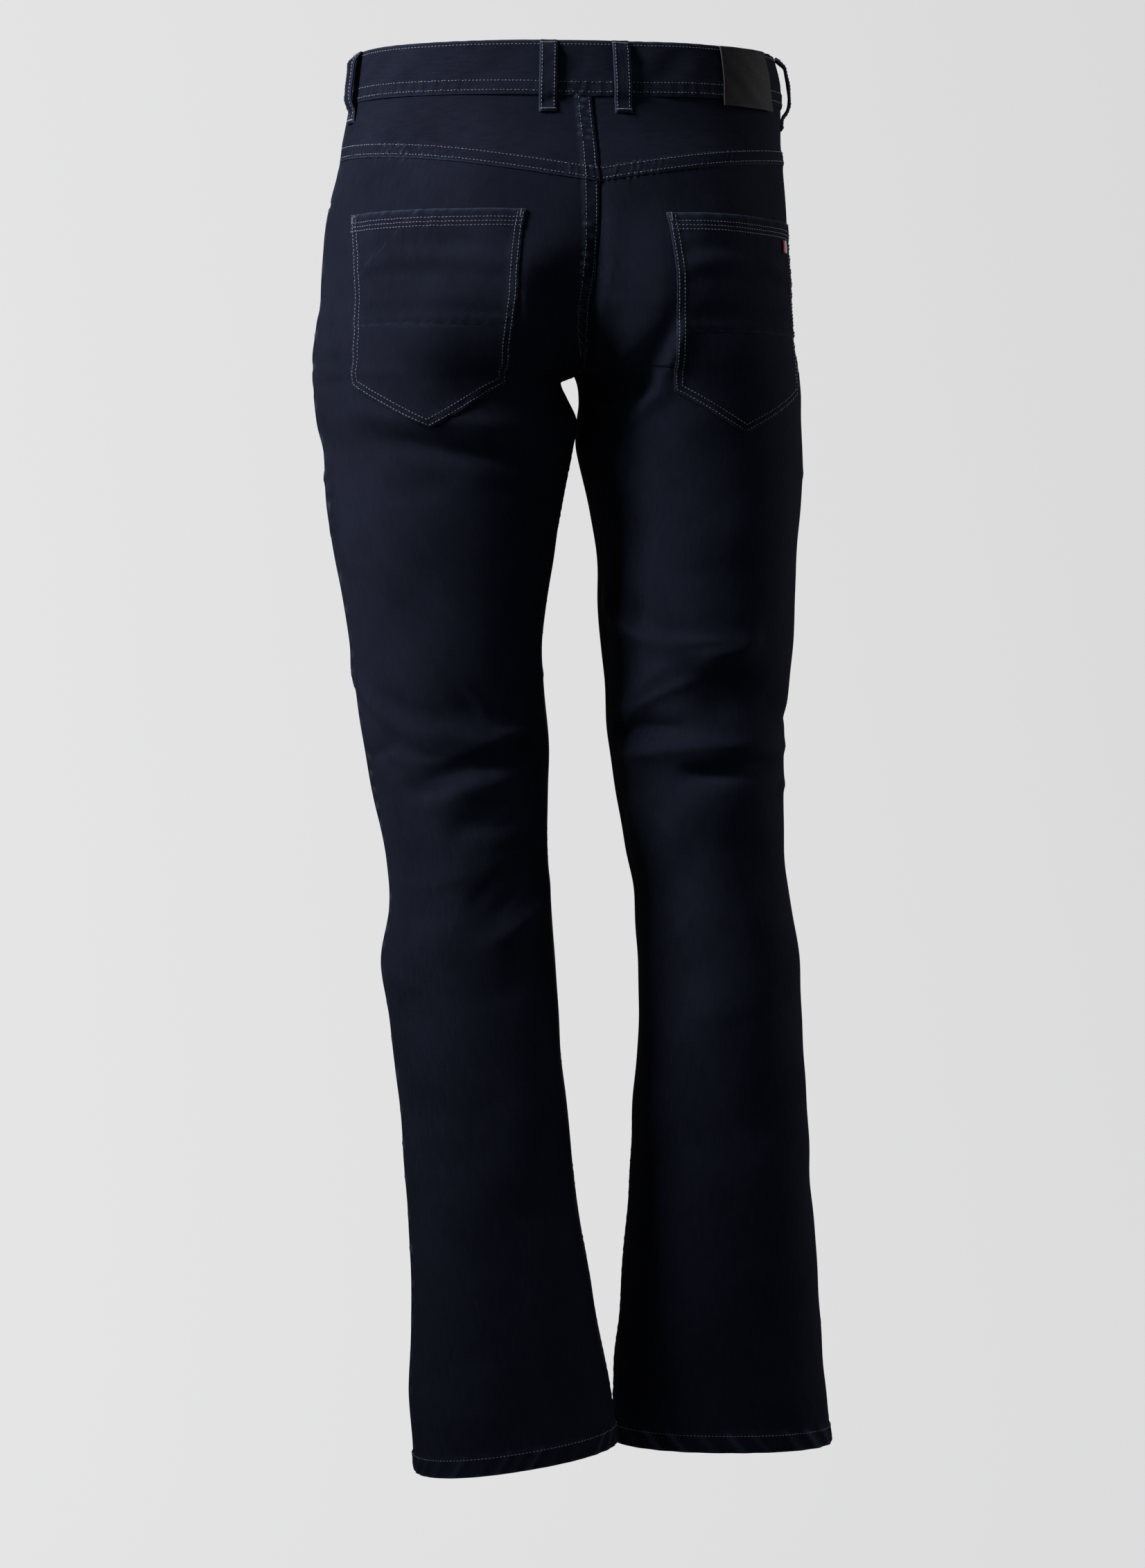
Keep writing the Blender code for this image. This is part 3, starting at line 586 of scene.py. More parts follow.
def crease(line, above, below, height, rounded, across, down):
    """How far one fold or crease moves the cloth out: it is bowed and fades at its ends."""
    start, start_down, end, end_down, bow = line
    run, fall = end - start, end_down - start_down
    reach = math.hypot(run, fall)
    along = ((across - start) * run + (down - start_down) * fall) / reach**2
    apart = ((down - start_down) * run - (across - start) * fall) / reach
    apart = apart * (1 if run > 0 else -1) - bow * 4 * along * (1 - along)
    swell = ease(np.minimum(along, 1 - along) / FOLD_END)
    power = rounded if height > 0 else VALLEY_ROUND
    return height * swell * np.exp(-(np.abs(apart / np.where(apart > 0, below, above)) ** power))


def creased(side, face, across, down):
    """How far folds and creases move the cloth out."""
    big = np.zeros_like(across)
    for *line, width, height in FOLDS[side, face]:
        big = big + crease(line, width, width, height, FOLD_ROUND, across, down)
    inner = arc_length(side, face, down) - across
    big = big * ease(np.minimum(across, inner) / FOLD_FADE)
    small = waver(side, face * across, down)
    for *line, above, below, height in CREASES[side]:
        small = small + crease(line, above, below, height, CREASE_ROUND, face * across, down)
    small = small * ease(inner / FOLD_FADE) * ease((LENGTHS[side] - down) / CREASE_CALM)
    return big + small * ease((down - BAND_CENTRE) / CREASE_CALM)


def yoke_line(share):
    """The yoke seam, for a share across from the side seam."""
    return blend(YOKE_SIDE, YOKE_CENTRE, np.clip(share, 0, 1) ** YOKE_BEND)


def band_line(face, share):
    """The waistband's lower edge, for a share across from the side seam."""
    return blend(BAND_SIDE, BAND_CENTRE, share) if face == BACK else BAND_SIDE + 0 * share


def scoop(down):
    """How far across the pocket mouth's edge is from the side seam."""
    share = np.clip((down - BAND_SIDE) / SCOOP_DEPTH, 0, 1)
    return SCOOP_WIDTH * (1 - share**SCOOP_BEND) ** (1 / SCOOP_BEND)


def seat_widening(down):
    """The seat seam's rows lie wider apart where it turns in between the legs."""
    return 1 + 0.3 * ease((down - 185) / 45) * ease((CROTCH - 2 - down) / 8)


def hump(distance, width):
    """1 on a line and 0 well away from it, as a turned or rubbed edge falls off."""
    return np.exp(-((distance / width) ** 2))


def raised(side, face, across, down):
    """How far the felled seams, the hems and the fly's lap stand proud."""
    inner = arc_length(side, face, down) - across
    proud = np.zeros_like(across)
    if face == BACK:
        seat = ease((CROTCH - SEAM_FLAT - down) / SEAM_FADE) if side == LEFT else 0.0
        inseam = INSEAM_SHARE * ease((down - CROTCH) / SEAM_BAND)
        wide = SEAM_BAND * (seat_widening(down) if side == LEFT else 1)
        edge = np.where(down < CROTCH, SEAT_EDGE, INSEAM_EDGE)
        proud = SEAM_PROUD * (seat + inseam) * ease((wide - inner) / edge)
    proud = np.where(down > LENGTHS[side] - HEM_TURN, SEAM_PROUD, proud)
    if (side, face) == (LEFT, FRONT):
        beside = ease((LAP_RAMP - inner) / LAP_RAMP)
        closing = ease((FLY_LENGTH - down) / FLY_CLOSED * FLY_STEEP)
        proud = proud + LAP_LIFT * beside * closing
        below_fly = ease((down - FLY_LENGTH + 30) / 20) * ease((CROTCH - 2 - down) / 12)
        proud = proud + RISE_LIFT * below_fly * ease((SEAM_BAND + 3 - inner) / 4)
    return proud


def puckered(side, face, across, down):
    """Small puckers beside sewn seams, and how much each place has rubbed pale."""
    length = arc_length(side, face, down)
    inner = length - across
    seed = 7 + 2 * side + face
    felled = (side, face) == (LEFT, BACK)
    # The inseam and the seat seam.
    band = ease((SEAM_BAND + 3 - inner) / 4) * ease((inner - 0.5) / 3)
    height = np.where(down < CROTCH, SEAT_PUCKER if felled else MIDDLE_PUCKER, INSEAM_PUCKER)
    total = height * band * ripple(down + 0.5 * inner, *SEAM_WAVES, seed)
    # The side seam, pressed open.
    side_band = ease((9 - across) / 5)
    total = total + SIDE_PUCKER * side_band * ripple(down, *SIDE_WAVES, 90 + side)
    total = total + SIDE_WELT * ease((10 - across) / 2)
    # The hem, which twists as it is turned.
    from_hem = LENGTHS[side] - down
    hem = ease((HEM_TURN + 3 - from_hem) / 4)
    twisted = across - 0.8 * from_hem
    total = total + HEM_PUCKER * hem * ripple(twisted, *HEM_WAVES, 33 + seed)
    # The panel below the yoke seam, and the yoke's own edge.
    if face == BACK:
        below_yoke = down - yoke_line(across / length)
        near = ease((6 - below_yoke) / 6) * ease((below_yoke + YOKE_BAND + 2) / 2)
        slanted = across - 0.6 * below_yoke
        total = total + YOKE_PUCKER * near * ripple(slanted, *YOKE_WAVES, 61 + seed, 9)
    rubbed = np.clip(total, 0, 1)
    # Edges turn in at a plain seam, and a front's edges run on under the back's.
    total = total - np.where(across < 0, SEAM_TUCK, SIDE_TURN * hump(across, TURN_WIDE))
    if not felled:
        total = total - INNER_TURN * hump(np.maximum(inner, 0), TURN_WIDE)
    return total - (SEAM_TUCK - INNER_TURN) * ((inner < 0) & (down > CROTCH)), rubbed


def place(side, face, across, down, out=0.0, fine=True):
    """Places on the cloth, in metres, moved out by some mm."""
    across, down = np.broadcast_arrays(np.asarray(across, float), np.asarray(down, float))
    out = out + creased(side, face, across, down) + raised(side, face, across, down)
    if fine:
        out = out + puckered(side, face, across, down)[0]
    return lifted(side, face, across, down, out)


class Wire:
    """One value or colour in a material's nodes: arithmetic on it adds Math nodes."""

    def __init__(self, tree, socket=None):
        self.tree = tree
        self.socket = socket

    def node(self, kind, settings=None, values=None, out=0):
        """Adds a node, with its settings first and then its sockets' values or links."""
        made = self.tree.nodes.new("ShaderNode" + kind)
        for name, value in (settings or {}).items():
            if name == "stops":
                for stop, (at, colour) in zip(made.color_ramp.elements, value):
                    stop.position, stop.color = at, colour
            else:
                setattr(made, name, value)
        for name, value in (values or {}).items():
            if isinstance(value, Wire):
                self.tree.links.new(value.socket, made.inputs[name])
            else:
                made.inputs[name].default_value = value
        return Wire(self.tree, made.outputs[out])

    def output(self, index):
        """Another output of the same node."""
        return Wire(self.tree, self.socket.node.outputs[index])

    def feeds(self, shader, name):
        self.tree.links.new(self.socket, shader.inputs[name])

    def maths(self, operation, *values):
        return self.node("Math", {"operation": operation}, dict(enumerate(values)))

    def __add__(self, other):
        return self.maths("ADD", self, other)

    def __mul__(self, other):
        return self.maths("MULTIPLY", self, other)

    def __rsub__(self, other):
        return self.maths("SUBTRACT", other, self)

    __radd__ = __add__
    __rmul__ = __mul__

    def sine(self):
        return self.maths("SINE", self)

    def between(self, low, high):
        """0 at low, 1 at high, and smooth between."""
        return self.node(
            "MapRange",
            {"interpolation_type": "SMOOTHSTEP"},
            {"Value": self, "From Min": low, "From Max": high},
        )

    def mixes(self, start, end):
        """A colour between two, with this value as the share of the second."""
        return self.node("Mix", {"data_type": "RGBA"}, {0: self, 6: start, 7: end}, 2)

    def noise(self, where, scale, detail=2.0):
        return self.node("TexNoise", {}, {"Vector": where, "Scale": scale, "Detail": detail})

    def bump(self, height, strength, distance):
        values = {"Strength": strength, "Distance": distance, "Height": height}
        return self.node("Bump", {}, values)


def finish_for(name, roughness, sheen=0.0):
    """A new material, its shader, and a wire to start its nodes from."""
    made = bpy.data.materials.new(name)
    made.use_nodes = True
    shader = made.node_tree.nodes["Principled BSDF"]
    shader.inputs["Roughness"].default_value = roughness
    shader.inputs["Sheen Weight"].default_value = sheen
    return made, shader, Wire(made.node_tree)


# The twill's ribs are a wale apart, and their slant is how far down they run for one across.
WALE, SLANT = 0.9, 1.7
DENIM_DARK = (0.0033, 0.0038, 0.0072, 1)
DENIM_MID = (0.0098, 0.0115, 0.0214, 1)
# Rubbed pale cloth. The same colour also paints a highlight along the back pockets' cross seams.
DENIM_RUBBED_AND_HIGHLIT = (0.024, 0.032, 0.052, 1)
REVERSE_DARK = (0.020, 0.024, 0.034, 1)
REVERSE_MID = (0.052, 0.060, 0.080, 1)
REVERSE_RUBBED = (0.09, 0.10, 0.12, 1)


def denim(name, dark, mid, rubbed):
    """Twill: slanted ribs of black-blue warp over a paler weft, streaked along the warp."""
    made, shader, start = finish_for(name, 0.9, 0.006)
    uv = start.node("UVMap", {"uv_map": "cloth"})
    across = start.node("SeparateXYZ", {}, {"Vector": uv})
    down = across.output(1)
    streak = start.noise(start.node("CombineXYZ", {}, {"X": across, "Y": down * 0.07}), 1.0, 3.0)
    slub = start.noise(start.node("CombineXYZ", {}, {"X": across, "Y": down * 0.2}), 0.32, 2.0)
    cloud = start.noise(uv, 0.016, 3.0)
    fleck = start.noise(uv, 1.3, 2.0)
    turn = 2 * math.pi / WALE
    rib = ((across * turn + down * (turn / SLANT)).sine() + 1) * 0.5
    wear_and_highlight = start.node("Attribute", {"attribute_name": "wear_and_highlight"}, {}, 2)
    tone = streak * 0.55 + slub * 0.35 + cloud * 0.7 + fleck * 0.75 + rib * 0.2
    body = tone.between(0.75, 1.75).mixes(dark, mid)
    # Paler where the cloth is rubbed. Along the back pockets' cross seams it is also a painted
    # highlight.
    pale = (wear_and_highlight * (0.45 + 0.9 * fleck)).between(0.05, 1.0)
    pale.mixes(body, rubbed).feeds(shader, "Base Color")
    height = rib * 0.5 + streak * 0.5 + fleck * 0.8
    start.bump(height, 0.5, 0.0003).feeds(shader, "Normal")
    shader.inputs["Specular IOR Level"].default_value = 0.025
    shader.inputs["Sheen Roughness"].default_value = 0.45
    shader.inputs["Sheen Tint"].default_value = (0.55, 0.65, 0.95, 1)
    return made


OUTSIDE = denim("denim", DENIM_DARK, DENIM_MID, DENIM_RUBBED_AND_HIGHLIT)
INSIDE = denim("denim_reverse", REVERSE_DARK, REVERSE_MID, REVERSE_RUBBED)


def cloth_piece(name, places, grain, wear_and_highlight, thick, turned=False, finish=None):
    """A shell of cloth: a grid of places in metres, the weave's own mm, and its wear and painted
    highlight.
    """
    rows, columns = places.shape[:2]
    index = np.arange(rows * columns).reshape(rows, columns)
    corners = [index[:-1, :-1], index[:-1, 1:], index[1:, 1:], index[1:, :-1]]
    faces = np.stack([c.ravel() for c in (corners[::-1] if turned else corners)], axis=1)
    mesh = bpy.data.meshes.new(name)
    mesh.vertices.add(rows * columns)
    mesh.vertices.foreach_set("co", places.reshape(-1))
    mesh.loops.add(faces.size)
    mesh.loops.foreach_set("vertex_index", faces.ravel())
    mesh.polygons.add(len(faces))
    mesh.polygons.foreach_set("loop_start", np.arange(0, faces.size, 4))
    mesh.update(calc_edges=True)
    mesh.validate()
    layer = mesh.uv_layers.new(name="cloth")
    layer.data.foreach_set("uv", grain.reshape(-1, 2)[faces.ravel()].ravel())
    rub = mesh.attributes.new("wear_and_highlight", "FLOAT", "POINT")
    rub.data.foreach_set("value", np.broadcast_to(wear_and_highlight, (rows, columns)).ravel().astype(float))
    mesh.shade_smooth()
    for material in (finish,) if finish else (OUTSIDE, INSIDE):
        mesh.materials.append(material)
    piece = put(name, mesh)
    shell = piece.modifiers.new("wall", "SOLIDIFY")
    shell.thickness = thick * MM
    shell.offset = -1
    shell.material_offset = 0 if finish else 1
    shell.material_offset_rim = 0
    return piece


def settle(piece, slot, *nodes):
    """The piece takes its nodes' place and moves with the jeans."""
    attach(piece, "root")
    if nodes:
        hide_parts(*nodes)


# The panels' grids: rows a step apart, close rows over the hem's turn, and columns that lie
# close beside the side seam and beside the inseam or the middle.
ROW_STEP = 2.7
HEM_STEPS = (-0.8, 0.6, 2.8, 5.5, 8.4, 11.2, 13.0, 13.7, 14.0)
OUTER_STEPS = (0.0, 0.8, 2.0, 4.0, 6.5, 9.5, 12.5)
INNER_STEPS = (14.5, 12.9, 11.8, 10.2, 8.0, 5.8, 3.6, 1.6, 0.0)
MIDDLE_COUNT = {BACK: 82, FRONT: 70}
SEAM_LAP = 0.9
PANEL_TUCK = 4.0


def panel_columns(face):
    """Places across a row as a + b * span: close beside the seams, even between."""
    a = list(OUTER_STEPS)
    b = [0.0] * len(a)
    for i in range(1, MIDDLE_COUNT[face]):
        share = i / MIDDLE_COUNT[face]
        a.append(OUTER_STEPS[-1] * (1 - share) - INNER_STEPS[0] * share)
        b.append(share)
    a += [-step for step in INNER_STEPS]
    b += [1.0] * len(INNER_STEPS)
    return np.array(a), np.array(b)


def lap(side, face, down):
    """How far the closed fly's edge, and the seam below it, runs past the middle."""
    if (side, face) != (LEFT, FRONT):
        return 0.0 * down
    share = np.clip(down / (FLY_LENGTH - FLY_CLOSED), 0, 1)
    felled = RISE_LAP * ease((down - 120) / 28) * ease((CROTCH - 2 - down) / 6)
    return FLY_LAP * (1 - share**3) + felled


def panel_places(side, face, down_at, start=0.0, past=0.0):
    """Across and down for a grid, where down_at gives each share's depth in every row."""
    a, b = panel_columns(face)
    share = b + 0 * np.asarray(start)
    # A row's depth changes along it, and with it the row's length: a few passes agree.
    for _ in range(6):
        down = down_at(share)
        span = arc_length(side, face, down) + lap(side, face, down) - SEAM_GAP - start + past
        share = np.clip((a + b * span) / span, 0, 1)
    return SEAM_GAP / 2 + start + share * span, down


def leg_panel(name, side, face):
    """A back or front, from the yoke seam or the waistband down to the hem."""
    top_side = (YOKE_SIDE if face == BACK else BAND_SIDE) - PANEL_TUCK
    top_inner = (YOKE_CENTRE if face == BACK else BAND_SIDE) - PANEL_TUCK
    count = int((CROTCH - top_side) / ROW_STEP)
    lowered = (np.arange(count) / count)[:, None]
    at_side = blend(top_side, CROTCH, lowered)
    at_inner = blend(CROTCH, top_inner, (1 - lowered) ** 2)
    start = (scoop(at_side) - SEAM_TUCK * ease((at_side - 120) / 8)) * (face == FRONT)
    past = 0.0
    if (side, face) == (LEFT, BACK):
        past = SEAM_LAP * ease((FLY_LENGTH - 6 - at_inner) / 12)

    def seat_down(share):
        return blend(at_side, at_inner, share**YOKE_BEND)

    seat = panel_places(side, face, seat_down, start, past)
    end = LENGTHS[side]
    rows = np.arange(CROTCH, end - HEM_TURN - 2, ROW_STEP)
    downs = np.append(rows, end - HEM_TURN + np.array(HEM_STEPS))[:, None]
    under = SEAM_TUCK if face == FRONT else 0.0
    leg = panel_places(side, face, lambda share: downs + 0 * share, -under, under)
    across = np.concatenate([seat[0], leg[0]])
    down = np.concatenate([seat[1], leg[1]])
    wear_and_highlight = puckered(side, face, across, down)[1] + 0.5 * ease((down - end + 2.0) / 1.5)
    roll = -0.5 * ease((down - end + 1.2) / 1.2)
    if face == FRONT:
        from_mouth = np.where(down < BAND_SIDE + SCOOP_DEPTH, across - scoop(down), 99.0)
        wear_and_highlight = wear_and_highlight + 0.5 * hump(from_mouth, 2.0)
        roll = roll - 0.7 * hump(from_mouth, 1.1)
    places = place(side, face, across, down, roll)
    grain = np.stack([across * face, down], axis=2)
    wear_and_highlight = np.clip(wear_and_highlight, 0, 1)
    piece = cloth_piece(f"{name}_cloth", places, grain, wear_and_highlight, CLOTH, turned=side * face == 1)
    settle(piece, "denim", name)
    lengths = arc_length(side, face, np.arange(top_side, end))


for word, side in SIDES:
    leg_panel(f"back_{word}", side, BACK)
    leg_panel(f"front_{word}", side, FRONT)

# The hems' sewing. A stitch fills a share of its pitch, and is wide and high as given.
STITCH, STITCH_FILL, STITCH_WIDTH, STITCH_HEIGHT = 2.75, 0.60, 0.54, 0.24
THREAD_PALE, THREAD_DARK = (0.105, 0.118, 0.152, 1), (0.0756, 0.08496, 0.10944, 1)
HEM_ROW = 12.6


def facing(side, face, across, down):
    """The direction straight out of the cloth as it lies, with its folds."""
    aside = place(side, face, across + 0.8, down) - place(side, face, across - 0.8, down)
    below = place(side, face, across, down + 0.8) - place(side, face, across, down - 0.8)
    return unit(np.cross(below, aside) * side * face)


def filled_in(corners, step=0.9):
    """A line of places through corners, a step apart."""
    corners = np.asarray(corners, float)
    reach = np.concatenate([[0], np.cumsum(np.hypot(*np.diff(corners, axis=0).T))])
    at = np.linspace(0, reach[-1], max(2, int(reach[-1] / step)))
    return np.interp(at, reach, corners[:, 0]), np.interp(at, reach, corners[:, 1])


def line_on(side, face, corners, out=0.15, step=0.9):
    """A line of sewing on the cloth: its places and the directions out of the cloth."""
    across, down = filled_in(corners, step)
    lift = out(across, down) if callable(out) else out
    return place(side, face, across, down, lift), facing(side, face, across, down)


THREAD, shader, start = finish_for("thread", 0.62, 0.2)
tint = start.noise(start.node("TexCoord", {}, {}, 3), 900.0, 1.0)
tint.between(0.3, 0.7).mixes(THREAD_DARK, THREAD_PALE).feeds(shader, "Base Color")


def sew(name, lines, pitch=STITCH, width=STITCH_WIDTH, height=STITCH_HEIGHT):
    """Lines of thread stitches: each a small low bump that sinks in at its ends."""
    dice = np.random.RandomState(len(lines) + 17)
    # The four cuts across a stitch: where along it, how high, how wide and how far askew.
    along = np.array([0, 0.2, 0.8, 1]) * STITCH_FILL + (1 - STITCH_FILL) / 2
    high = np.array([-0.15, 1, 1, -0.15])[None, :, None] * height * MM
    half = np.array([0.55, 1, 1, 0.55])[None, :, None] * width / 2 * MM
    askew = np.array([-1, -0.6, 0.6, 1])[None, :, None] * MM
    sunk = 0.12 * MM
    blocks = []
    for places, normals in lines:
        steps = np.linalg.norm(np.diff(places, axis=0), axis=1)
        reach = np.concatenate([[0], np.cumsum(steps)])
        count = max(1, round(reach[-1] / (pitch * MM)))
        at = (np.arange(count)[:, None] + along[None, :]) * (reach[-1] / count)
        centre = np.stack([np.interp(at, reach, places[:, k]) for k in range(3)], axis=-1)
        up = unit(np.stack([np.interp(at, reach, normals[:, k]) for k in range(3)], axis=-1))
        ahead = unit(centre[:, -1:] - centre[:, :1])
        sideways = unit(np.cross(up, ahead + 0 * up))
        tilt = dice.uniform(-0.10, 0.10, (count, 1, 1))
        rise = high * dice.uniform(0.85, 1.1, (count, 1, 1))
        middle = centre + up * rise + sideways * tilt * askew
        low = middle - up * (rise + sunk)
        blocks.append(np.stack([low - sideways * half, middle, low + sideways * half], axis=2))
    points = np.concatenate(blocks).reshape(-1, 12, 3)
    first = np.arange(len(points))[:, None] * 12
    corners = [3 * i + j for i in range(3) for j in range(2)]
    faces = np.concatenate([first + [[c, c + 1, c + 4, c + 3]] for c in corners])
    mesh = bpy.data.meshes.new(name)
    mesh.from_pydata(points.reshape(-1, 3).tolist(), [], faces.tolist())
    mesh.shade_smooth()
    mesh.materials.append(THREAD)
    settle(put(name, mesh), "denim")


for word, side in SIDES:
    lines = []
    for face in (BACK, FRONT):
        row = LENGTHS[side] - HEM_ROW
        lines.append(line_on(side, face, [(1, row), (arc_length(side, face, row) - 1, row)]))
    sew(f"leg_stitching_{word}", lines)

# ---------------------------------------------------------------------------------------
# Yokes: two shaped pieces of the same denim above the back panels, each with its lower
# edge folded over the panel and sewn down with two rows. The seat seam joins the halves,
# its left side folded over the right one and sewn with two rows as well.

YOKE_ROWS, SEAT_ROWS, SEAT_ROWS_END = (1.9, 9.2), (1.9, 9.6), 231
YOKE_STEPS = (0.9, 0.3, -0.8, -2.4, -4.4, -6.4, -8.2, -9.4, -10.4, -11.6, -13.5)
YOKE_COUNT = 18


def yoke_proud(side, across, down):
    """How far the yoke's folded lower edge stands proud."""
    share = across / arc_length(side, BACK, down)
    above_seam = yoke_line(share) - down
    return SEAM_PROUD * ease((YOKE_BAND - above_seam) / 1.4) * (above_seam > -SEAM_LAP)


def yoke(name, side):
    """A yoke, from under the waistband to its folded lower edge."""
    even = np.arange(YOKE_COUNT) / YOKE_COUNT
    share_down = np.append(even, np.ones(len(YOKE_STEPS)))[:, None]
    below = np.append(YOKE_STEPS[-1] * even, YOKE_STEPS[::-1])[:, None]
    past = SEAM_LAP if side == LEFT else 0.0

    def down_at(share):
        top = band_line(BACK, share) - 3
        return blend(top, yoke_line(share), share_down) + below

    across, down = panel_places(side, BACK, down_at, 0.0 * share_down, past)
    edge = down - yoke_line(across / arc_length(side, BACK, down))
    wear_and_highlight = puckered(side, BACK, across, down)[1] + 0.55 * ease((edge + 1.0) / 1.4)
    out = yoke_proud(side, across, down) - 0.35 * ease((edge - 0.2) / 0.7)
    wear_and_highlight = np.clip(wear_and_highlight, 0, 1)
    places = place(side, BACK, across, down, out)
    grain = np.stack([down, across], axis=2)
    piece = cloth_piece(f"{name}_cloth", places, grain, wear_and_highlight, CLOTH, turned=side == LEFT)
    settle(piece, "denim", name)
    wide = float(arc_length(side, BACK, YOKE_SIDE))


yoke_lines = []
for word, side in SIDES:
    yoke(f"yoke_{word}", side)

    def on_yoke(across, down, side=side):
        return 0.15 + yoke_proud(side, across, down)

    for row in YOKE_ROWS:
        from_side, from_middle = 1.0, 0.0 if side == LEFT else 2.5
        shares = np.linspace(0, 1, 40)
        downs = yoke_line(shares) - row
        lengths = arc_length(side, BACK, downs)
        across = from_side + shares * (lengths - from_side - from_middle)
        yoke_lines.append(line_on(side, BACK, np.stack([across, downs], axis=1), on_yoke))
for row in SEAT_ROWS:
    downs = np.arange(BAND_CENTRE, SEAT_ROWS_END, 4)
    across = arc_length(LEFT, BACK, downs) - row * seat_widening(downs)
    corners = np.stack([across, downs], axis=1)
    yoke_lines.append(
        line_on(LEFT, BACK, corners, lambda a, d: 0.2 + yoke_proud(LEFT, a, d))
    )
sew("yoke_and_seat_stitching", yoke_lines)

# ---------------------------------------------------------------------------------------
# Back pockets: two five-sided patches of denim, each cut in an upper and a lower piece
# joined by a seam across. Their edges are turned in and sewn to the back panel with two
# rows, the mouth is folded and sewn with three, and its corners are bar-tacked.

POCKET_COLUMNS = ("down", "outer", "inner")
POCKETS = {
    LEFT: ((127, 56, 198), (211, 74, 198), (253, 72, 194)),
    RIGHT: ((128, 46, 184), (214, 60, 181), (256, 66, 181)),
}
POCKET_TIPS = {LEFT: (285, 127), RIGHT: (287, 124)}
POCKET_CURVES = {
    side: {name: column(rows, POCKET_COLUMNS, name) for name in POCKET_COLUMNS[1:]}
    for side, rows in POCKETS.items()
}
POCKET_CLOTH = 1.1
POCKET_EDGE_OUT, POCKET_BODY_OUT, POCKET_MOUTH_OUT = 1.5, 2.3, 3.3
POCKET_SIDE_ROWS, POCKET_MOUTH_ROWS = (2.0, 6.0), (6.3, 9.4, 12.4)
MOUTH_FOLD = 14.0
# The mouth sags in a few shallow arches, as an empty pocket does: down from it, and height.
POCKET_ARCHES, ARCH_SAG, ARCH_WIDE = ((23, -1.0), (35, 1.3), (46, -1.3), (64, 0.7)), 9, 5.5
# The grids' shares, close at sewn edges. The pocket is about 140 mm wide.
POCKET_COLUMN_STEPS = np.array([0, 0.5, 1.2, 2.2, 4.0, 6.0, 7.4, 8.6, 10.5]) / 140
UPPER_STEPS = (
    *(0, 0.006, 0.02, 0.05, 0.1, 0.15, 0.165, 0.185),
    *np.linspace(0.22, 0.88, 22),
    *(0.905, 0.92, 0.95, 0.98, 0.993, 1),
)
LOWER_STEPS = (*np.linspace(0, 0.74, 13), 0.81, 0.86, 0.9, 0.95, 0.975, 0.99, 1)
# The share of its box that each piece fills, and where on the weave's pattern it starts.
UPPER_SHARE, LOWER_SHARE, POCKET_GRAIN = 0.94, 0.72, 300
TUCK_UP, TUCK_DOWN = 1.0, 0.9


def pocket_outline(side, inset):
    """Corners of the pocket, set in by some mm, from the mouth round the point."""
    rows = POCKETS[side]
    tip_down, tip_across = POCKET_TIPS[side]
    downs = np.linspace(rows[0][0], rows[-1][0], 12)
    outer = [(float(POCKET_CURVES[side]["outer"](d)), d) for d in downs]
    inner = [(float(POCKET_CURVES[side]["inner"](d)), d) for d in downs[::-1]]
    corners = np.array(outer + [(tip_across, tip_down)] + inner, float)
    ahead = unit(np.diff(corners, axis=0))
    before = np.concatenate([ahead[:1], ahead])
    after = np.concatenate([ahead, ahead[-1:]])
    halfway = unit(before + after)
    miter = np.maximum(np.sum(after * halfway, axis=1), 0.5)
    square = np.stack([halfway[:, 1], -halfway[:, 0]], axis=1)
    return corners + square * (inset / miter)[:, None]


def pocket_edge(side, across, down):
    """How far inside the pocket's sewn edge a place is, in mm."""
    corners = pocket_outline(side, 0.0)
    nearest = np.full(across.shape, 99.0)
    for (x0, y0), (x1, y1) in zip(corners[:-1], corners[1:]):
        run, fall = x1 - x0, y1 - y0
        share = np.clip(((across - x0) * run + (down - y0) * fall) / (run**2 + fall**2), 0, 1)
        apart = np.hypot(across - x0 - share * run, down - y0 - share * fall)
        nearest = np.minimum(nearest, apart)
    return nearest


def pocket_out(side, across, down):
    """How far the pocket's face stands off the panel: low at its edges, and a little full."""
    top, seam = POCKETS[side][0][0], POCKETS[side][1][0]
    from_top = down - top
    edge = pocket_edge(side, across, down)
    out = blend(POCKET_EDGE_OUT, POCKET_BODY_OUT, ease(edge / 26))
    mouth = ease((40 - from_top) / 40) * ease(edge / 30)
    out = out + (POCKET_MOUTH_OUT - POCKET_BODY_OUT) * mouth
    # The turned edges and the folded mouth, and the puckers that their sewing draws.
    out = out + 0.30 * ease((8.0 - edge) / 1.5)
    out = out + 0.34 * ease((MOUTH_FOLD - from_top) / 1.5)
    out = out + 0.20 * ease((7.5 - edge) / 2) * ripple(across + 1.3 * down, 6, 14, 5 + side)
    out = out + 0.18 * ease((15 - from_top) / 3) * ripple(across, 8, 19, 15 + side)
    from_middle = (across - 128) / 72
    for at, height in POCKET_ARCHES:
        arch = from_top - at - ARCH_SAG * from_middle**2
        out = out + height * hump(arch, ARCH_WIDE) * ease(edge / 18)
    over_seam = (down <= seam) * ease((down - seam + 7.5) / 1.2)
    out = out + 0.55 * over_seam + 0.06 * over_seam * ripple(across, 5, 12, 25 + side)
    return out - 0.55 * hump(edge, 0.9)


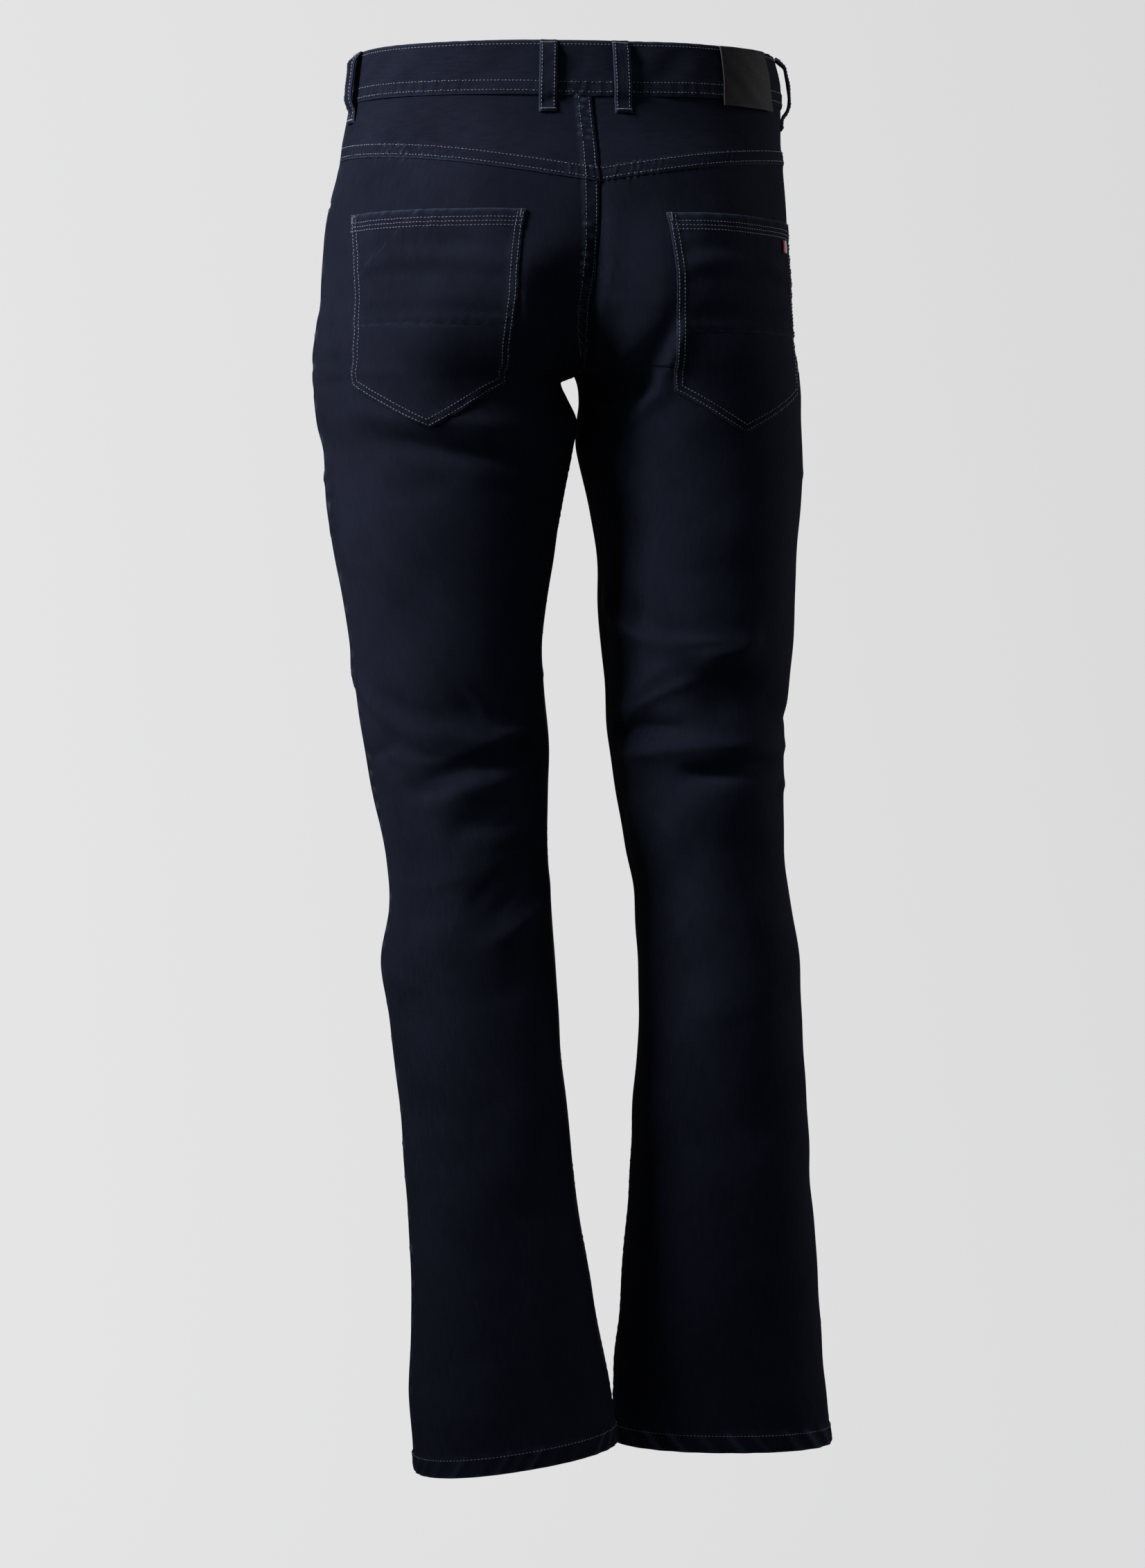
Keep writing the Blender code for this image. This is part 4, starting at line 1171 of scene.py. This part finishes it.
def pocket_piece(name, side, lower):
    """A pocket's upper piece, or its lower one, which tucks under it and ends in the point."""
    top, seam, corner = (row[0] for row in POCKETS[side])
    sides = POCKET_COLUMN_STEPS
    even = np.linspace(sides[-1], 1 - sides[-1], 46)[1:-1]
    share = np.concatenate([sides, even, 1 - sides[::-1]])[None, :]
    start, end = (seam - TUCK_UP, corner) if lower else (top, seam + TUCK_DOWN)
    down_share = np.array(LOWER_STEPS if lower else UPPER_STEPS)[:, None] + 0 * share
    down = blend(start, end, down_share)
    outer = POCKET_CURVES[side]["outer"](down)
    inner = POCKET_CURVES[side]["inner"](down)
    across = blend(outer, inner, share)
    if lower:
        tip_down, tip_across = POCKET_TIPS[side]
        corner_outer = POCKET_CURVES[side]["outer"](corner)
        corner_inner = POCKET_CURVES[side]["inner"](corner)
        tip_share = (tip_across - corner_outer) / (corner_inner - corner_outer)
        point = np.where(share < tip_share, share / tip_share, (1 - share) / (1 - tip_share))
        down = down + (tip_down - corner) * point * down_share
    out = pocket_out(side, across, down)
    wear_and_highlight = 0.40 * hump(pocket_edge(side, across, down), 1.5)
    if lower:
        out = out - 0.7 * ease((seam + 1.6 - down) / 2.6)
    else:
        out = out - 0.5 * hump(down - top, 0.9) - 0.35 * hump(seam + TUCK_DOWN - down, 0.7)
        # The mouth's fold is rubbed pale. The fold over the cross seam is rubbed pale and also
        # painted lighter, as a painted highlight on its ledge.
        wear_and_highlight = wear_and_highlight + 0.7 * hump(down - top, 2.0) + 0.55 * hump(down - seam, 1.3)
    wear_and_highlight = np.clip(wear_and_highlight + 0.12 * ripple(across + down, 6, 15, 9), 0, 1)
    places = place(side, BACK, across, down, out, fine=False)
    grain = np.stack([across, down + POCKET_GRAIN], axis=2)
    piece = cloth_piece(f"{name}_cloth", places, grain, wear_and_highlight, POCKET_CLOTH, turned=side == LEFT)
    settle(piece, "denim", name)
    wide = float(inner.max() - outer.min())
    deep = float(down.max() - down.min())


TACK_PITCH = 0.62
TACK_THREAD = {"pitch": 9.0, "width": 0.5, "height": 0.45}


def tack(side, face, across, down, length, width, out=0.15):
    """A bar tack: short level stitches side by side, down through a place."""
    lines = []
    for i in range(int(length / TACK_PITCH) + 1):
        y = down + i * TACK_PITCH - length / 2
        ends = [(across - width / 2, y), (across + width / 2, y)]
        lines.append(line_on(side, face, ends, out, 0.5))
    return lines


pocket_lines, pocket_tacks = [], []
for word, side in SIDES:
    pocket_piece(f"back_pocket_{word}_upper", side, False)
    pocket_piece(f"back_pocket_{word}_lower", side, True)

    def on_pocket(across, down, side=side):
        return pocket_out(side, across, down) + 0.12

    for inset in POCKET_SIDE_ROWS:
        corners = pocket_outline(side, inset)
        corners[[0, -1], 1] += 2.0
        pocket_lines.append(line_on(side, BACK, corners, on_pocket))
    top, outer, inner = POCKETS[side][0]
    for row in POCKET_MOUTH_ROWS:
        ends = [(outer + 1.5, top + row), (inner - 1.5, top + row)]
        pocket_lines.append(line_on(side, BACK, ends, on_pocket))
    for across in (outer + 3.6, inner - 3.6):
        pocket_tacks += tack(side, BACK, across, top + 3.4, 6.0, 1.9, on_pocket)
sew("pocket_stitching", pocket_lines)
sew("pocket_bar_tacks", pocket_tacks, **TACK_THREAD)

# ---------------------------------------------------------------------------------------
# Waistband: one doubled strip of denim with its grain along it, folded at the top edge,
# which takes in the tops of all panels. One row is sewn below the fold, two rows along
# the lower edge. It laps left over right at the front.

BAND_THICK, BAND_PROUD, BAND_LIFT, UNDERLAP, UNDERLAP_SUNK = 2.6, 1.2, 1.0, 24.0, 2.3
BAND_TOP_ROW, BAND_LOW_ROWS = 3.2, (3.1, 10.3)
BAND_STEPS = (
    *(0, 0.012, 0.03, 0.06, 0.10, 0.15, 0.22, 0.3, 0.38, 0.46, 0.54, 0.62, 0.68, 0.72, 0.76),
    *(0.80, 0.84, 0.88, 0.92, 0.955, 0.98, 0.992, 1),
)
BAND_COUNT = 82
LAP_STEPS = (1.5, 3.5, 5.5, 7.5, 9.5, 10.8, 11.6, 12.0)


def round_band(side, face, across):
    """A run of mm round the band for its puckers, which differ from side to side."""
    return face * side * across + (400 if side == RIGHT else 0)


def drawn(round_it, down):
    """The slanted puckers that the lower edge's two rows draw."""
    return ripple(round_it + 0.15 * down, 4.5, 10, 71)


def band_out(side, face, across, down):
    """How far the waistband's face stands off the smooth surface."""
    length = arc_length(side, face, down)
    share = np.clip(across / length, 0, 1)
    near = ease((across - length + LAP_RAMP) / (LAP_RAMP - FLY_LAP))
    out = BAND_PROUD + 0 * across
    if face == FRONT:
        out = out + near * (BAND_LIFT if side == LEFT else -UNDERLAP_SUNK)
    above_edge = band_line(face, share) - down
    out = out - 0.75 * hump(down, 0.8) - 0.55 * hump(above_edge, 0.8)
    round_it = round_band(side, face, across)
    sewn = ease((12.5 - above_edge) / 3) * ease(above_edge / 2 + 0.2)
    out = out + 0.34 * sewn * drawn(round_it, down)
    out = out + 0.16 * ease((5 - down) / 3) * ripple(round_it, 8, 20, 73)
    between = ease((down - 4) / 8) * ease((above_edge - 11) / 8)
    out = out + 0.45 * between * ripple(round_it + 0.5 * down, 26, 70, 75)
    out = out + 0.30 * ease((12.6 - above_edge) / 1.6)
    return out + 0.35 * ripple(round_it, 70, 190, 77) * ease(abs(length - across) / 40)


def band_place(side, face, across, down, out=0.0):
    """Places on the waistband's face, in metres, moved out by some mm."""
    return lifted(side, face, across, down, band_out(side, face, across, down) + out)


def waistband(name):
    """The band in one piece, from the end that lies under the lap round to the lap's end."""
    lowered = np.array(BAND_STEPS)[:, None]
    quarter = np.linspace(0, 1, BAND_COUNT)[1:]
    parts = [
        (RIGHT, FRONT, np.ones(10), np.linspace(UNDERLAP, 0, 10)),
        (RIGHT, FRONT, 1 - quarter, 0 * quarter),
        (RIGHT, BACK, quarter, 0 * quarter),
        (LEFT, BACK, 1 - quarter, 0 * quarter),
        (LEFT, FRONT, quarter, 0 * quarter),
        (LEFT, FRONT, np.ones(len(LAP_STEPS)), np.array(LAP_STEPS)),
    ]
    places, wear_and_highlight, grain = [], [], []
    run = 0.0
    for side, face, share, past in parts:
        down = lowered * band_line(face, share)[None, :]
        across = arc_length(side, face, down) * share[None, :] + past[None, :]
        out = -0.5 * hump(past - FLY_LAP, 0.8) * ((side, face) == (LEFT, FRONT))
        places.append(band_place(side, face, across, down, out + 0 * across))
        above_edge = band_line(face, share)[None, :] - down
        lines = drawn(round_band(side, face, across), down) * hump(above_edge - 6.5, 4)
        rub = 0.65 * hump(down, 1.6) + 0.45 * hump(above_edge, 1.4)
        wear_and_highlight.append(np.clip(rub + 0.3 * np.clip(lines, 0, 1), 0, 1))
        travel = np.abs(np.diff(across, axis=1, prepend=across[:, :1])).mean(axis=0)
        reach = run + np.cumsum(travel)
        run = reach[-1]
        grain.append(np.stack([down, np.broadcast_to(reach, down.shape)], axis=2))
    places, grain, wear_and_highlight = np.hstack(places), np.hstack(grain), np.hstack(wear_and_highlight)
    piece = cloth_piece(f"{name}_cloth", places, grain, wear_and_highlight, BAND_THICK, finish=OUTSIDE)
    settle(piece, "denim", name)


waistband("waistband")

band_lines = []
for side in (LEFT, RIGHT):
    for face in (BACK, FRONT):
        shares = np.linspace(0, 1, 60)
        edge = band_line(face, shares)
        for down in (BAND_TOP_ROW + 0 * edge, *(edge - row for row in BAND_LOW_ROWS)):
            across = arc_length(side, face, down) * shares
            if (side, face) == (LEFT, FRONT):
                across = np.append(across, across[-1] + FLY_LAP - 2)
                down = np.append(down, down[-1])
            a, d = filled_in(np.stack([across, down], axis=1))
            places = band_place(side, face, a, d, 0.14)
            band_lines.append((places, outward(side, face, a, d)))
sew("waistband_stitching", band_lines)

# ---------------------------------------------------------------------------------------
# Belt loops: folded strips of denim with a row of stitches along each edge, bar-tacked to
# the waistband's top edge and below it, and bowed off the band between.

# Where and on which face, the seam it is measured from, how far from it on the left and on
# the right, and how far it bows off the band.
LOOPS = (
    ("back", BACK, "inner", 33, 23, 2.6),
    ("side", BACK, "outer", 19, 19, 4.4),
    ("front", FRONT, "inner", 104, 104, 3.0),
)
LOOP_WIDTH, LOOP_THICK, LOOP_TOP, LOOP_FOOT, LOOP_TACK = 13.0, 1.6, 0.3, 54.0, 6.0
LOOP_RISE, LOOP_FALL = 9.0, 14.0
LOOP_LEAN, LOOP_GRAIN = 3.6, 70
LOOP_HALF_STEPS = np.array([0.1, 0.27, 0.33, 0.4, 0.45, 0.485, 0.5])
LOOP_ROW, LOOP_TACK_HALF, LOOP_TACK_COUNT = 0.35, 0.44, 19


def stepped(start, end, near, first, last, count):
    """Places from start to end: some near each end, and an even run between."""
    near = np.array(near)
    return np.concatenate([start + near, np.linspace(first, last, count), end - near[::-1]])


def loop_places(side, face, seam, distance, stand_off, share, down, out=0.0):
    """Places on a loop: a share of its width from its middle, and how far down it is."""
    share, down = np.broadcast_arrays(share, down)
    middle = arc_length(side, face, down) - distance if seam == "inner" else distance + 0 * down
    if (side, face, seam) == (LEFT, BACK, "inner"):
        middle = middle + LOOP_LEAN * (1 - down / LOOP_FOOT)
    across = middle + LOOP_WIDTH * share
    free = ease((down - LOOP_TOP) / LOOP_RISE) * ease((LOOP_FOOT - LOOP_TACK - down) / LOOP_FALL)
    on_band = 1.3 * ease((BAND_CENTRE + 3 - down) / 4)
    off = 0.45 + LOOP_THICK + on_band + stand_off * free
    # Its edges turn in, with a low welt along each, and its ends are folded under.
    aside = np.abs(share)
    off = off - 0.9 * (2 * aside) ** 7 + 0.18 * (aside > 0.28) * (aside < 0.44)
    off = off + 0.25 * ripple(down + 9 * share, 9, 24, distance + side) * (1 - 0.4 * free)
    off = off - 1.1 * hump(down - LOOP_TOP, 1.0) - 0.8 * hump(LOOP_FOOT - down, 0.9)
    under = creased(side, face, across, down) + raised(side, face, middle, down)
    return lifted(side, face, across, down, off + under + out)


def belt_loop(name, side, face, seam, distance, stand_off):
    """One loop, with the lines of its two rows and the stitches of its two bar tacks."""
    shares = np.concatenate([-LOOP_HALF_STEPS[::-1], LOOP_HALF_STEPS])
    downs = stepped(LOOP_TOP, LOOP_FOOT, (0, 0.4, 1.2, 2.4), 4.5, 50, 24)
    share, down = np.meshgrid(shares, downs)

    def on_loop(share, down, out=0.0):
        return loop_places(side, face, seam, distance, stand_off, share, down, out)

    def sewn(share, down):
        aside = on_loop(share + 0.05, down) - on_loop(share - 0.05, down)
        below = on_loop(share, down + 0.6) - on_loop(share, down - 0.6)
        return on_loop(share, down, 0.1), unit(np.cross(below, aside) * side * face)

    grain = np.stack([share * LOOP_WIDTH, down + LOOP_GRAIN], axis=2)
    wear_and_highlight = 0.75 * hump((0.5 - np.abs(share)) * LOOP_WIDTH, 1.2)
    wear_and_highlight = wear_and_highlight + 0.4 * hump(down - LOOP_TOP, 1.5) + 0.3 * hump(LOOP_FOOT - down, 1.5)
    piece = cloth_piece(
        f"{name}_cloth",
        on_loop(share, down),
        grain,
        np.clip(wear_and_highlight, 0, 1),
        LOOP_THICK,
        turned=side * face == 1,
        finish=OUTSIDE,
    )
    settle(piece, "denim", name)
    line = np.linspace(LOOP_TOP + 1, LOOP_FOOT - 1, 60)
    rows = [sewn(share + 0 * line, line) for share in (-LOOP_ROW, LOOP_ROW)]
    tacks = []
    for middle in (LOOP_TOP + 2.2, LOOP_FOOT - 2.2):
        line = np.linspace(middle - 0.95, middle + 0.95, 4)
        for share in np.linspace(-LOOP_TACK_HALF, LOOP_TACK_HALF, LOOP_TACK_COUNT):
            tacks.append(sewn(share + 0 * line, line))
    return rows, tacks


loop_lines, loop_tacks = [], []
for word, side in SIDES:
    for where, face, seam, on_left, on_right, stand_off in LOOPS:
        distance = on_left if side == LEFT else on_right
        name = f"belt_loop_{where}_{word}"
        rows, tacks = belt_loop(name, side, face, seam, distance, stand_off)
        loop_lines += rows
        loop_tacks += tacks
sew("loop_stitching", loop_lines)
sew("loop_bar_tacks", loop_tacks, **TACK_THREAD)

# ---------------------------------------------------------------------------------------
# Patch: a plain rectangle of matt dark leatherette, cut with a pale edge and sewn to the
# waistband near the right side, where its lower edge hangs just past the band.

PATCH_START, PATCH_END, PATCH_TOP, PATCH_FOOT, PATCH_THICK = 60.0, 112.0, 0.5, 45.5, 1.4
PATCH_WIDE, PATCH_DEEP = PATCH_END - PATCH_START, PATCH_FOOT - PATCH_TOP
PATCH_OFF = BAND_PROUD + 0.4
PATCH_EDGE_STEPS = (0, 0.5, 1.3)
PATCH_DARK, PATCH_PALE = (0.0062, 0.0048, 0.0053, 1), (0.0125, 0.0104, 0.0110, 1)
PATCH_CUT = (0.055, 0.052, 0.058, 1)

leatherette, shader, start = finish_for("leatherette", 0.5)
shader.inputs["Specular IOR Level"].default_value = 0.05
uv = start.node("UVMap", {"uv_map": "cloth"})
wear_and_highlight = start.node("Attribute", {"attribute_name": "wear_and_highlight"}, {}, 2)
pores = start.node("TexVoronoi", {"feature": "DISTANCE_TO_EDGE"}, {"Vector": uv, "Scale": 1.15})
cloud = start.noise(uv, 0.09, 3.0)
body = cloud.between(0.3, 0.7).mixes(PATCH_DARK, PATCH_PALE)
wear_and_highlight.mixes(body, PATCH_CUT).feeds(shader, "Base Color")
start.bump(pores.between(0.0, 0.25), 0.5, 0.00015).feeds(shader, "Normal")
(cloud * 0.25 + 0.42).feeds(shader, "Roughness")

across, down = np.meshgrid(
    stepped(PATCH_START, PATCH_END, PATCH_EDGE_STEPS, PATCH_START + 3, PATCH_END - 3, 22),
    stepped(PATCH_TOP, PATCH_FOOT, PATCH_EDGE_STEPS, PATCH_TOP + 3, PATCH_FOOT - 3, 18),
)
edge = np.minimum.reduce(
    [across - PATCH_START, PATCH_END - across, down - PATCH_TOP, PATCH_FOOT - down]
)
off = PATCH_OFF + PATCH_THICK - 0.5 * hump(edge, 0.6)
off = off + 0.35 * np.sin((across - PATCH_START) / PATCH_WIDE * np.pi)
off = off + 1.0 * ease((down - 36) / 12) + 0.15 * ripple(across + down, 20, 50, 3)
# It is cut square, so it leans a little across the band where the waist slopes in.
leaned = across + (down - 23) * (0.04 + 0.14 * (across - PATCH_START) / PATCH_WIDE)
piece = cloth_piece(
    "patch_leatherette",
    lifted(RIGHT, BACK, leaned, down, off),
    np.stack([across, down], axis=2),
    0.9 * hump(edge, 0.45),
    PATCH_THICK,
    finish=leatherette,
)
settle(piece, "leatherette", "patch")

# ---------------------------------------------------------------------------------------
# Woven tab: a short folded tape caught in the right back pocket's outer seam, with plain
# upright stripes in dark, white and red.

TAB_START, TAB_TOP, TAB_WIDE, TAB_DEEP, TAB_THICK = 64.0, 142.5, 10.0, 9.0, 0.9
TAB_DARK, TAB_RED = (0.012, 0.014, 0.022, 1), (0.35, 0.02, 0.02, 1)
TAB_WHITE = (0.62, 0.61, 0.60, 1)

woven, shader, start = finish_for("woven_tape", 0.7, 0.15)
along = start.node("SeparateXYZ", {}, {"Vector": start.node("UVMap", {"uv_map": "cloth"})})
pick = along.output(1)
stripes = along.between(0.62, 0.66).mixes(TAB_DARK, TAB_RED)
white = along.between(0.33, 0.36) * (1 - along.between(0.62, 0.65))
white.mixes(stripes, TAB_WHITE).feeds(shader, "Base Color")
weave = ((pick * 70.0).sine() * 0.5 + 0.5) * 0.4 + 0.6
start.bump(weave, 0.4, 0.0001).feeds(shader, "Normal")

share, lowered = np.meshgrid(np.linspace(0, 1, 12), np.linspace(0, 1, 10))
across, down = TAB_START + TAB_WIDE * share, TAB_TOP + TAB_DEEP * lowered
off = pocket_out(RIGHT, across, down) + 0.25 + TAB_THICK
off = off + 0.5 * ease((across - TAB_START + 1) / 7) - 0.4 * hump(TAB_WIDE * (1 - share), 0.7)
piece = cloth_piece(
    "pocket_tab_tape",
    place(RIGHT, BACK, across, down, off, fine=False),
    np.stack([share, lowered], axis=2),
    0.0,
    TAB_THICK,
    finish=woven,
)
settle(piece, "woven_tab", "pocket_tab")

# ---------------------------------------------------------------------------------------
# Front: a facing of denim behind each scooped pocket mouth, two rows of stitches round the
# mouths, and the curved double row that holds the closed fly.

FACING_UNDER, FACING_DIP, FACING_RUN, FACING_TUCK, FACING_DEEP = 14.0, 26.0, 20.0, 8.0, 3.2
MOUTH_ROWS, FLY_ROWS, RISE_ROWS = (2.0, 8.2), (31.0, 37.5), (1.8, 8.0)
FLY_BEND_FROM, RISE_FROM, RISE_ROWS_END = 128, 160, 233
FLY_TACKS = ((30, 130.0), (3, 160.0))
FACING_SHARE, FACING_GRAIN = 0.78, 500


def pocket_facing(name, side):
    """The cloth that shows in a pocket's mouth and runs on behind its edge."""
    share = np.linspace(0, 1, 40)[None, :]
    lowered = np.linspace(0, 1, 34)[:, None]
    top, bottom = BAND_SIDE + 1, BAND_SIDE + SCOOP_DEPTH + FACING_UNDER
    down = blend(top, bottom, lowered) + 0 * share
    mouth = scoop(down)
    across = SEAM_GAP / 2 + (mouth + FACING_UNDER) * share
    under = ease((across - mouth + FACING_DIP) / FACING_RUN)
    down = down - FACING_TUCK * ease(3 * under - 2) * (lowered == 0)
    places = place(side, FRONT, across, down, -FACING_DEEP * under)
    grain = np.stack([across, down + FACING_GRAIN], axis=2)
    piece = cloth_piece(f"{name}_cloth", places, grain, 0 * across, CLOTH, turned=side == RIGHT)
    settle(piece, "denim_facing", name)


def fly_edge(down):
    """How far across the closed fly's edge is, and the seam's below it."""
    down = np.asarray(down, float)
    return arc_length(LEFT, FRONT, down) + lap(LEFT, FRONT, down)


front_lines, front_tacks = [], []
for word, side in SIDES:
    pocket_facing(f"pocket_facing_{word}", side)
    for row in MOUTH_ROWS:
        corners = []
        for turn in np.linspace(0.02, np.pi / 2, 40):
            # Square to the mouth's own curve.
            x = SCOOP_WIDTH * math.cos(turn) ** (2 / SCOOP_BEND)
            y = BAND_SIDE + SCOOP_DEPTH * math.sin(turn) ** (2 / SCOOP_BEND)
            corners.append((x + row * math.cos(turn), y + row * math.sin(turn)))
        front_lines.append(line_on(side, FRONT, corners))
for row in FLY_ROWS:
    # Down beside the edge, and then round in a quarter turn that ends on it.
    downs = np.arange(BAND_SIDE + 1, FLY_BEND_FROM, 4)
    corners = list(zip(fly_edge(downs) - row, downs))
    x, y = corners[-1]
    reach = 30.0 + (row - FLY_ROWS[0])
    for turn in np.linspace(0.1, np.pi / 2 * 0.97, 12):
        corners.append((x + (row - 4) * (1 - math.cos(turn)), y + reach * math.sin(turn)))
    front_lines.append(line_on(LEFT, FRONT, corners))
for row in RISE_ROWS:
    downs = np.arange(BAND_SIDE + 1, RISE_ROWS_END, 4)
    downs = downs if row == RISE_ROWS[0] else downs[downs >= RISE_FROM]
    corners = np.stack([fly_edge(downs) - row, downs], axis=1)
    front_lines.append(line_on(LEFT, FRONT, corners))
sew("front_stitching", front_lines)
for inset, down in FLY_TACKS:
    across = float(arc_length(LEFT, FRONT, down)) - inset
    front_tacks += tack(LEFT, FRONT, across, down, 8.0, 1.8)
sew("front_bar_tacks", front_tacks, **TACK_THREAD)

# ---------------------------------------------------------------------------------------
# Waist button: a dark aged metal tack button with a raised rim, through an eyelet
# buttonhole that is bound with close stitches.

BUTTON_RADIUS, BUTTON_HEIGHT, BUTTON_DOWN, BUTTON_STEPS = 8.5, 4.6, 21.0, 56
# Rings from the middle of the face round the rim to the shank: a share of the radius, and
# how far below the highest place.
BUTTON_PROFILE = (
    (0, 1.15),
    (0.2, 1.1),
    (0.36, 1.35),
    (0.5, 1.25),
    (0.58, 0.8),
    (0.66, 0.15),
    (0.76, 0.0),
    (0.9, 0.15),
    (0.98, 0.7),
    (1.0, 1.4),
    (0.96, 2.1),
    (0.86, 2.5),
    (0.4, 2.8),
    (0.35, 4.6),
)
HOLE_START, HOLE_END, HOLE_EDGE, HOLE_BOUND = -15.5, 9.5, 0.7, 3.0
HOLE_THREAD = {"pitch": 9.0, "width": 0.55, "height": 0.5}

metal, shader, start = finish_for("aged_metal", 0.36)
shader.inputs["Metallic"].default_value = 1.0
spots = start.noise(start.node("TexCoord", {}, {}, 3), 420.0, 4.0)
tarnish, bright = (0.07, 0.062, 0.055, 1), (0.30, 0.27, 0.235, 1)
spots.between(0.35, 0.7).mixes(tarnish, bright).feeds(shader, "Base Color")
(spots * 0.35 + 0.22).feeds(shader, "Roughness")

angles = np.linspace(0, 2 * np.pi, BUTTON_STEPS, endpoint=False)
points = [(0, 0, BUTTON_HEIGHT - BUTTON_PROFILE[0][1])]
for share, below in BUTTON_PROFILE[1:]:
    radius = share * BUTTON_RADIUS
    points += [(radius * math.cos(t), radius * math.sin(t), BUTTON_HEIGHT - below) for t in angles]
faces = [(0, 1 + i, 1 + (i + 1) % BUTTON_STEPS) for i in range(BUTTON_STEPS)]
for first in range(1, len(points) - BUTTON_STEPS, BUTTON_STEPS):
    for i in range(BUTTON_STEPS):
        a, b = first + i, first + (i + 1) % BUTTON_STEPS
        faces.append((a, a + BUTTON_STEPS, b + BUTTON_STEPS, b))
mesh = bpy.data.meshes.new("waist_button_metal")
mesh.from_pydata((np.array(points) * MM).tolist(), [], faces)
mesh.shade_smooth()
mesh.materials.append(metal)
button = put("waist_button_metal", mesh)
across = float(arc_length(LEFT, FRONT, BUTTON_DOWN))
sewn_on = bare(LEFT, FRONT, [across], [BUTTON_DOWN])[0]
straight = outward(LEFT, FRONT, [across], [BUTTON_DOWN])[0]
button.location = Vector((sewn_on + straight * (BAND_PROUD + BAND_LIFT + 0.3)) * MM)
button.rotation_euler = Vector(straight).to_track_quat("Z", "Y").to_euler()
settle(button, "button_metal", "waist_button")

hole_lines = []
for row in (-1, 1):
    for x in np.arange(HOLE_START, HOLE_END, TACK_PITCH):
        a = np.full(4, across + x)
        d = BUTTON_DOWN + row * np.linspace(HOLE_EDGE, HOLE_BOUND, 4)
        hole_lines.append((band_place(LEFT, FRONT, a, d, 0.1), outward(LEFT, FRONT, a, d)))
sew("buttonhole_stitching", hole_lines, **HOLE_THREAD)

low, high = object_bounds()
